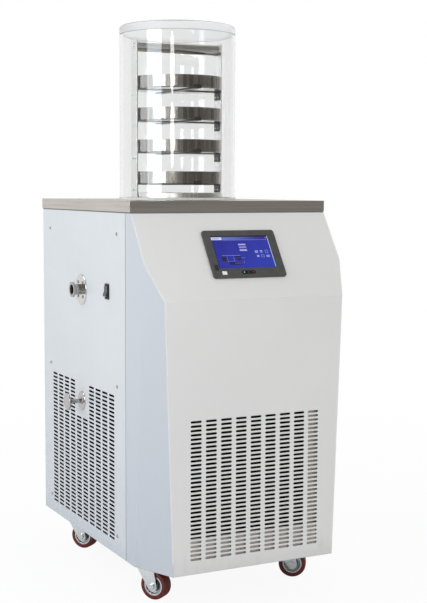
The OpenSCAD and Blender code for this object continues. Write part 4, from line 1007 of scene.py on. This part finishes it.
# %% Seal and baffles
seal_low = (end_left + 0.002, cond_low[1] + 0.012, cond_high[2] + 0.0005)
seal_high = (end_right - 0.002, cond_low[1] + 0.024, cond_high[2] + 0.034)
foam_mat("condenser_seal", mat_grid(seal_low, seal_high, (60, 5), 22))

sheet_thick = 0.0012
sheet_front, strip_front = grille_face + 0.0058, grille_face + 0.0118
sheet_foot, sheet_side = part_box("base_plate")[1][2] + 0.0008, cond_high[0] + 0.006
baffle = boxes([[end_left, sheet_front, sheet_foot],
                [end_left, sheet_front + sheet_thick, sheet_foot],
                [sheet_side - 0.046, strip_front, sheet_foot + 0.0014]],
               [[sheet_side, sheet_front + sheet_thick, sheet_foot + 0.080],
                [sheet_side, sheet_front + 0.014, sheet_foot + sheet_thick],
                [sheet_side, strip_front + sheet_thick, cond_high[2] + 0.03]])
pale_enamel = moulded("pale_enamel", (0.56, 0.495, 0.45), 0.5, 260.0, 0.00006, 0.3)
new_piece("foot_baffle", *baffle, "fin_aluminium", pale_enamel.material)

# %% [markdown]
# ## The plane of the touch panel
#
# The touch panel leans back with the console, so what is drawn on it needs that plane: the way
# to the right, the way up the panel and the way out of it. They are found from the glass
# itself. Its highest point and its foremost point lie on one edge of its profile.

# %% The plane of the glass
glass = points_of("touch_screen").astype(float)
bezel = points_of("touch_panel_bezel").astype(float)
tilt_up = glass[glass[:, 2].argmax()] - glass[glass[:, 1].argmin()]
tilt_up[0] = 0
tilt_up /= np.linalg.norm(tilt_up)
panel_out = np.cross((1.0, 0.0, 0.0), tilt_up)
print("console tilt", round(math.degrees(math.asin(panel_out[2])), 2), "degrees up")


def spread_on(points):
    """The lowest and highest of a cloud of points along the panel's own right, up and out."""
    own = np.stack([points[:, 0], points @ tilt_up, points @ panel_out], -1)
    return own.min(0), own.max(0)


def from_panel(right, up, out):
    """The point at these distances along the panel's right, up and out."""
    own = np.stack(np.broadcast_arrays(right, up, out), -1)
    return own @ np.stack([(1.0, 0.0, 0.0), tilt_up, panel_out])


glass_low, glass_high = spread_on(glass)
bezel_low, bezel_high = spread_on(bezel)
lap = 0.0028  # the bezel hides this much of the glass all round
page_low, page_high = glass_low[:2] + lap, glass_high[:2] - lap
page_size = page_high - page_low
print("page", (page_size * 1000).round(1), "mm")


def on_page(u, v, lift):
    """A point of the page: u from the left, v from the top, both 0 to 1, and lift off the glass."""
    return from_panel(page_low[0] + u * page_size[0], page_low[1] + (1 - v) * page_size[1],
                      glass_high[2] + lift)


# %% [markdown]
# ## The lit page
#
# The screen shows a control page on a blue ground. The ground is a sheet just off the glass,
# with its own UV map, on which formulas draw the slow change of colour, the header bar, the
# fine grid of dots that every such display has, and the dark line where the bezel shades it.
# It gives off a weak light of its own and keeps a glossy coat over it.

# %% The lit page
display = {"Roughness": 0.12, "IOR": 1.5, "Coat Weight": 0.4, "Coat Roughness": 0.04}
glow = Finish("lit_page", {**display, "Emission Strength": 0.5})
at = Wire(glow.tree.nodes.new("ShaderNodeUVMap").outputs["UV"])
across, up = at.part(0), at.part(1)
field = (across * 0.55 + (1 - up) * 0.45).rise(0.1, 0.95)
field = field.mix((0.028, 0.030, 0.40), (0.030, 0.055, 0.56))
haze = at.noise(5.0, 3.0).rise(0.35, 0.75)
field = (haze * 0.3).mix(field, (0.05, 0.07, 0.60))
header = across.rise(0.15, 0.95).mix((0.18, 0.25, 0.72), (0.04, 0.03, 0.34))
field = up.bar(0.885, 1.1, 0.004).mix(field, header)
shade_line = up.rise(0.965, 0.99).max(1 - across.rise(0.004, 0.03))
field = (shade_line * 0.85).mix(field, (0.006, 0.006, 0.03))
dot = at * (310.0, 186.0, 0.0)
lit = dot.part(0).turns().bar(0.12, 0.88, 0.08) * dot.part(1).turns().bar(0.12, 0.88, 0.08)
glow.drive("Emission Color", field * (lit * 0.14 + 0.86))
glow.drive("Base Color", field * 0.25)

columns, rows = 32, 20
u, v = np.meshgrid(np.linspace(0, 1, columns), np.linspace(0, 1, rows))
page_faces = faces_of(rows, columns, round_way=False)[:, ::-1]
page = new_piece("screen_page", on_page(u, v, 0.00012), page_faces, "screen", glow.material)
page_uv = page.data.uv_layers.new(name="page")
own_uv = np.stack([u.ravel(), 1 - v.ravel()], -1)
page_uv.data.foreach_set("uv", own_uv[corners_of(page.data)].ravel())

# %% [markdown]
# ## Fields and keys on the page
#
# On the page stand a few value fields, a drawing of the process and a block of keys. They're
# kept generic, with plain shapes and no lettering. A lit strip along the right edge is a painted
# highlight of the glass's edge. Each shape is a thin tile of its own, and keeps its edges at any
# size, which a painted mask would not. The tiles' colours are an attribute on their faces, and
# one material reads it.

# %% Tiles on the page
pale, white, lilac = (0.44, 0.44, 0.80), (0.80, 0.82, 0.93), (0.30, 0.32, 0.78)
navy, slate, sky = (0.015, 0.017, 0.10), (0.05, 0.055, 0.16), (0.16, 0.22, 0.74)
ruby, sand, cyan = (0.45, 0.05, 0.10), (0.42, 0.30, 0.30), (0.45, 0.85, 0.88)
tiles = [  # left, top, right, bottom on the page, and colour
    (0.005, 0.030, 0.185, 0.112, white), (0.030, 0.055, 0.150, 0.066, sky),
    (0.030, 0.080, 0.130, 0.090, sky), (0.200, 0.118, 0.965, 0.126, lilac),
    (0.955, 0.035, 0.962, 0.095, pale), (0.445, 0.240, 0.572, 0.288, pale),
    (0.445, 0.325, 0.572, 0.373, lilac), (0.445, 0.410, 0.572, 0.466, pale),
    (0.455, 0.258, 0.540, 0.268, navy), (0.455, 0.343, 0.552, 0.353, navy),
    (0.455, 0.432, 0.528, 0.442, navy), (0.110, 0.592, 0.430, 0.602, lilac),
    (0.150, 0.615, 0.160, 0.900, slate), (0.100, 0.625, 0.185, 0.770, navy),
    (0.330, 0.615, 0.430, 0.660, navy), (0.340, 0.690, 0.440, 0.740, navy),
    (0.205, 0.800, 0.450, 0.880, navy), (0.185, 0.640, 0.192, 0.800, sky),
    (0.185, 0.770, 0.330, 0.778, sky), (0.300, 0.640, 0.307, 0.770, sky),
    (0.430, 0.672, 0.500, 0.679, lilac), (0.300, 0.830, 0.470, 0.838, sand),
    (0.460, 0.770, 0.467, 0.838, sky), (0.700, 0.455, 0.755, 0.535, lilac),
    (0.790, 0.455, 0.833, 0.490, pale), (0.790, 0.500, 0.833, 0.540, sky),
    (0.880, 0.450, 0.930, 0.460, lilac), (0.880, 0.530, 0.930, 0.540, lilac),
    (0.880, 0.460, 0.887, 0.530, lilac), (0.923, 0.460, 0.930, 0.530, lilac),
    (0.715, 0.600, 0.755, 0.660, pale), (0.790, 0.590, 0.845, 0.600, lilac),
    (0.790, 0.660, 0.845, 0.670, lilac), (0.790, 0.600, 0.798, 0.660, lilac),
    (0.837, 0.600, 0.845, 0.660, lilac), (0.880, 0.600, 0.940, 0.670, lilac),
    (0.893, 0.625, 0.927, 0.650, ruby), (0.700, 0.958, 0.875, 0.966, slate),
    # Painted highlight: these two lit strips stand for light on the glass's right edge.
    (0.985, 0.000, 0.994, 0.700, white), (0.985, 0.700, 0.994, 0.965, cyan),
]
edges = np.array([t[:4] for t in tiles])
box_u, box_v = edges[:, [0, 2]], edges[:, [1, 3]]
# Tiles that cross lie at four heights in turn, so that no two faces fight for one place.
tile_back = 0.00010
tile_front = 0.00020 + 0.00003 * (np.arange(len(tiles)) % 4)
corners = [on_page(box_u[:, a], box_v[:, b], tile_front if c else tile_back)
           for c in (0, 1) for b in (0, 1) for a in (0, 1)]
tile_tint = np.repeat(np.array([(*t[4], 1.0) for t in tiles]), len(box_sides), axis=0)

shown = Finish("lit_tiles", {**display, "Emission Strength": 0.66})
tint = shown.place.make("ShaderNodeAttribute", {"attribute_name": "tint"})
flicker = shown.place.noise(900.0, 2.0).rise(0.3, 0.7) * 0.12 + 0.88
shown.drive("Emission Color", tint * flicker)
shown.drive("Base Color", tint * 0.25)
new_piece("screen_tiles", np.stack(corners, 1), box_faces(len(tiles)), "screen", shown.material,
          tint=tile_tint)

# %% [markdown]
# ## Status lights
#
# Under the screen the bezel holds a black oval with three small lights. The oval is a rounded
# bar: a circle cut in half and pulled apart, with its rim rolled over. The lights are low domes
# of clear plastic over a lit spot, with a weak emission of their own.

# %% Oval and lights
def on_bezel(right, up, lift):
    """A point at these metres from the middle of the bezel's front face, lifted off it."""
    middle = (bezel_low + bezel_high) / 2
    return from_panel(middle[0] + right, middle[1] + up, bezel_high[2] + lift)


def pad(right, up, half_long, half_wide, corner_r, thick, around=48):
    """A flat pad with rounded corners and a rolled rim. Outline = the inner rectangle's corner +
    corner_r x (cos t, sin t). Rows: the middle, out to the outline, over the rim and down into
    the bezel, each as its reach along the rectangle, its share of corner_r and its height."""
    turn = (np.arange(around) + 0.5) * 2 * np.pi / around
    c, s = np.cos(turn), np.sin(turn)
    inner = np.stack([np.sign(c) * (half_long - corner_r), np.sign(s) * (half_wide - corner_r)], -1)
    way = np.stack([c, s], -1)
    rows = np.array([(0.0, 0.0, 1.0), (0.85, 0.0, 1.0), (1.0, 0.75, 1.0), (1.0, 0.93, 0.8),
                     (1.0, 1.0, 0.4), (1.0, 1.0, -0.5), (0.0, 0.0, -0.5)])
    reach, share, height = rows.T[..., None]
    x, y = (inner[:, k] * reach + way[:, k] * corner_r * share for k in (0, 1))
    return on_bezel(right + x, up + y, height * thick), faces_of(len(rows), around)


def dome(right, up, radius, tall, base, around=20):
    """A low dome: r = radius sin a and lift = base + tall cos a, closed below."""
    turn = np.linspace(0, 2 * np.pi, around, endpoint=False)[None]
    a = np.linspace(0, np.pi / 2, 6)[:, None]
    r = np.concatenate([radius * np.sin(a), [[radius], [0.0]]])
    z = np.concatenate([base + tall * np.cos(a), [[base - 0.0002], [base - 0.0002]]])
    x, y = r * np.cos(turn), r * np.sin(turn)
    return on_bezel(right + x, up + y, z), faces_of(len(r), around)


bezel_tall = (bezel_high - bezel_low)[1]
oval_at = (-0.0032, -0.397 * bezel_tall)
oval_black = Finish("matt_black_oval", {"Specular IOR Level": 0.25})
speckle = oval_black.place.noise(700.0, 3.0)
oval_black.drive("Base Color", speckle.mix((0.006, 0.006, 0.007), (0.014, 0.014, 0.015)))
oval_black.drive("Roughness", oval_black.place.noise(900.0, 2.0) * 0.2 + 0.45)
oval_tall = 0.0006
new_piece("status_oval", *pad(*oval_at, 0.019, 0.0047, 0.0046, oval_tall), "black_plastic",
          oval_black.material)

status_lights = [  # name, place along the oval, colour and power
    ("status_light_ready", -0.0125, (0.30, 0.75, 0.55), 0.45),
    ("status_light_idle", 0.0, (0.12, 0.13, 0.13), 0.15),
    ("status_light_alarm", 0.0125, (0.55, 0.05, 0.06), 0.4),
]
for name, right, colour, power in status_lights:
    lens = Finish(name, {"Base Color": (*colour, 1), "Roughness": 0.12, "Emission Strength": power})
    spot = lens.place.noise(2500.0, 1.0).rise(0.2, 0.8) * 0.25 + 0.75
    lens.drive("Emission Color", spot * colour)
    new_piece(name, *dome(oval_at[0] + right, oval_at[1], 0.0013, 0.0006, oval_tall), "screen",
              lens.material)

# %% [markdown]
# ## Blank labels
#
# Left of the oval are two stickers, a pale one and a dark one, left blank here. They have the
# same form as the oval, with small corners. Paper has no gloss and a fine, fibrous grain.

# %% Blank labels
paper = Finish("blank_label", {"Roughness": 0.55})
fibre = paper.place.noise(500.0, 4.0).rise(0.3, 0.7)
paper.drive("Base Color", fibre.mix((0.70, 0.70, 0.69), (0.82, 0.82, 0.81)))
paper.relief(paper.place.noise(1500.0, 3.0), 0.00003)
label_corner, label_thick = 0.0008, 0.00025
pale_label = pad(-0.0685, -0.402 * bezel_tall, 0.0062, 0.0047, label_corner, label_thick)
dark_label = pad(-0.0862, -0.285 * bezel_tall, 0.0052, 0.0082, label_corner, label_thick)
new_piece("blank_square_label", *pale_label, "bezel_plastic", paper.material)
new_piece("dark_square_label", *dark_label, "bezel_plastic", finishes["rocker_plastic"])

# %% [markdown]
# ## What each ray finds
#
# The studio is plain: a pale floor that runs into a white background, and big soft lamps. Metal
# is only as good as what it mirrors. In a studio the backdrop behind the machine is white, and
# the room on the camera's side and the ceiling are dark, which draws the dark bands on steel.
# So a ray that was mirrored finds white on the backdrop's side and a dim, warm room on the
# other, also after it has left the bell. A ray that only passed through clear plastic sees what
# the camera would see. The Light Path node tells them apart.

# %% Kinds of rays
backdrop_way = (-0.50, 0.866, 0.0)
dim_room = 0.2
room_tint = (1.0, 0.945, 0.86)


def ray_kinds(start):
    """Masks of the rays that come from the camera, straight or through plastic, and of those
    that were mirrored on their way. The depths count the bounces of each kind in a ray."""
    node = start.make("ShaderNodeLightPath").socket.node
    camera_ray, glossy_ray, clear_ray, glossy_bounces, matt_bounces = (
        Wire(node.outputs[name]) for name in ("Is Camera Ray", "Is Glossy Ray",
                                              "Is Transmission Ray", "Glossy Depth",
                                              "Diffuse Depth"))
    bounced = glossy_bounces.max(matt_bounces).rise(0.25, 0.75)
    seen = camera_ray.max(clear_ray * (1 - bounced))
    return seen, glossy_ray.max(clear_ray) * (1 - seen)


def backdrop_side(way):
    """1 where a direction goes to the backdrop, 0 where it goes to the dim room opposite."""
    return way.dot(backdrop_way).rise(-0.95, 0.2)


print("backdrop towards", backdrop_way, "and a room of", dim_room, "opposite")

# %% [markdown]
# ## The floor
#
# The floor is a wide disc. To the camera it is almost white with a trace of its matt paint,
# which carries the machine's soft shadow, and further off it is all white, so that it runs into
# the background without an edge. To rays that were mirrored it is matt near the machine and
# turns bright or dim further off, by the side it lies on.

# %% Floor
pale_floor = Finish("pale_studio_floor", {"Roughness": 0.9, "Specular IOR Level": 0.1})
ground = pale_floor.place
pale_floor.drive("Base Color", ground.noise(3.0, 4.0).mix((0.87, 0.87, 0.87), (0.89, 0.89, 0.89)))
direct, mirrored = ray_kinds(ground)
far = ground.length().rise(0.7, 3.0)
side = backdrop_side(ground.make("ShaderNodeVectorMath", {"operation": "NORMALIZE"}, {0: ground}))
glowing = ground.make("ShaderNodeEmission", {}, {"Color": (1, 1, 1, 1),
                                                 "Strength": 1 - mirrored * (1 - side) * 0.6})
fade = direct * (far * 0.07 + 0.93) + mirrored * far
matt = Wire(pale_floor.shader.outputs[0])
pale_floor.show(ground.make("ShaderNodeMixShader", {}, {0: fade, 1: matt, 2: glowing}))

floor_level, around = -0.0004, 96
ring_r = np.array([0.0, 0.5, 1.0, 2.0, 4.0, 8.0, 16.0, 28.0])[:, None]
ring_a = np.linspace(0, 2 * np.pi, around, endpoint=False)[None]
flat = floor_level + 0 * ring_r * ring_a
disc = np.stack([ring_r * np.cos(ring_a), ring_r * np.sin(ring_a), flat], -1)
floor_mesh = bpy.data.meshes.new("studio_floor")
floor_mesh.from_pydata(disc.reshape(-1, 3).tolist(), [], faces_of(len(ring_r), around).tolist())
floor_mesh.materials.append(pale_floor.material)
floor = bpy.data.objects.new("studio_floor", floor_mesh)
bpy.context.scene.collection.objects.link(floor)
print("floor", ring_r.max() * 2, "m across")

# %% [markdown]
# ## The world
#
# The background's white must not become light on the machine, or every pale panel would burn
# out. So the world is white to the camera, bright or dim to mirrored rays, and greyer as a
# lamp, with a broad brighter part that lights the machine's front.

# %% World
world = bpy.data.worlds.new("studio_white")
world.use_nodes = True
bpy.context.scene.world = world
backdrop = world.node_tree.nodes["Background"]
room_light, front_light = 0.5, 1.15
front_way = (0.74, -0.67, 0.06)
sky = Wire(world.node_tree.nodes.new("ShaderNodeTexCoord").outputs["Generated"])
direct, mirrored = ray_kinds(sky)
side = backdrop_side(sky) * (1 - sky.part(2).rise(0.25, 0.7) * 0.75)
front = sky.dot(front_way).rise(0.25, 1.0)
as_mirrored = mirrored * (side * (1 - dim_room) + dim_room)
as_lamp = (1 - direct) * (1 - mirrored) * (front * front_light + room_light)
strength = direct + as_mirrored + as_lamp
tint = (mirrored * (1 - side)).mix((1, 1, 1), room_tint)
world.node_tree.links.new(tint.socket, backdrop.inputs["Color"])
world.node_tree.links.new(strength.socket, backdrop.inputs["Strength"])
print("room light", room_light, "front light", front_light)

# %% [markdown]
# ## Lamps
#
# A broad cool lamp stands on the left. It lights the side panel and draws the wide upright
# reflection on the bell, and its lower edge is level with the worktop. A second one, higher and
# further back, evens out the side panel. Two slim ones beside the camera are weak, and draw the
# narrow reflection. One above fills the trays. The front gets its light from the room. A lamp of
# P watts at d metres lights a facing matt surface to P / (pi^2 d^2) of white, so each lamp's
# power is worked out from its share of white.

# %% Soft lamps
def soft_lamp(name, place, aim, size, share, colour, shape="RECTANGLE"):
    """An area lamp at place, facing aim. Power = share x pi^2 x distance^2."""
    lamp = bpy.data.lights.new(name, "AREA")
    lamp.shape, lamp.size, lamp.size_y = shape, size[0], size[1]
    way = Vector(aim) - Vector(place)
    lamp.energy = share * math.pi ** 2 * way.length_squared
    lamp.color = colour
    thing = bpy.data.objects.new(name, lamp)
    bpy.context.scene.collection.objects.link(thing)
    turn = way.to_track_quat("-Z", "Y").to_matrix().to_4x4()
    thing.matrix_world = Matrix.Translation(place) @ turn
    print(name, round(lamp.energy, 1), "W")


bell_middle = (0.02, 0.05, 1.3)
cool, cooler, warm = (0.9, 0.955, 1.0), (0.86, 0.94, 1.0), (1.0, 0.99, 0.97)
soft_lamp("broad_left_lamp", (-2.92, -0.94, 1.38), (0.02, 0.05, 1.2), (1.7, 0.9), 0.29, cooler)
soft_lamp("high_left_lamp", (-2.6, 1.2, 3.0), (0, 0, 0.6), (1.6, 1.6), 0.24, cool)
soft_lamp("slim_lamp_upper", (-1.72, -2.40, 1.62), bell_middle, (0.43, 0.30), 0.03, warm, "ELLIPSE")
soft_lamp("slim_lamp_lower", (-1.72, -2.40, 1.28), bell_middle, (0.40, 0.32), 0.03, warm, "ELLIPSE")
soft_lamp("top_lamp", (0.2, 0.6, 3.6), (0, 0, 0.9), (2.0, 2.0), 0.15, (1.0, 1.0, 1.0))

# %% [markdown]
# ## Finishing
#
# The view is set to plain sRGB, so that a colour shows as it is written.

# %% Finish
bpy.context.scene.view_settings.view_transform = "Standard"
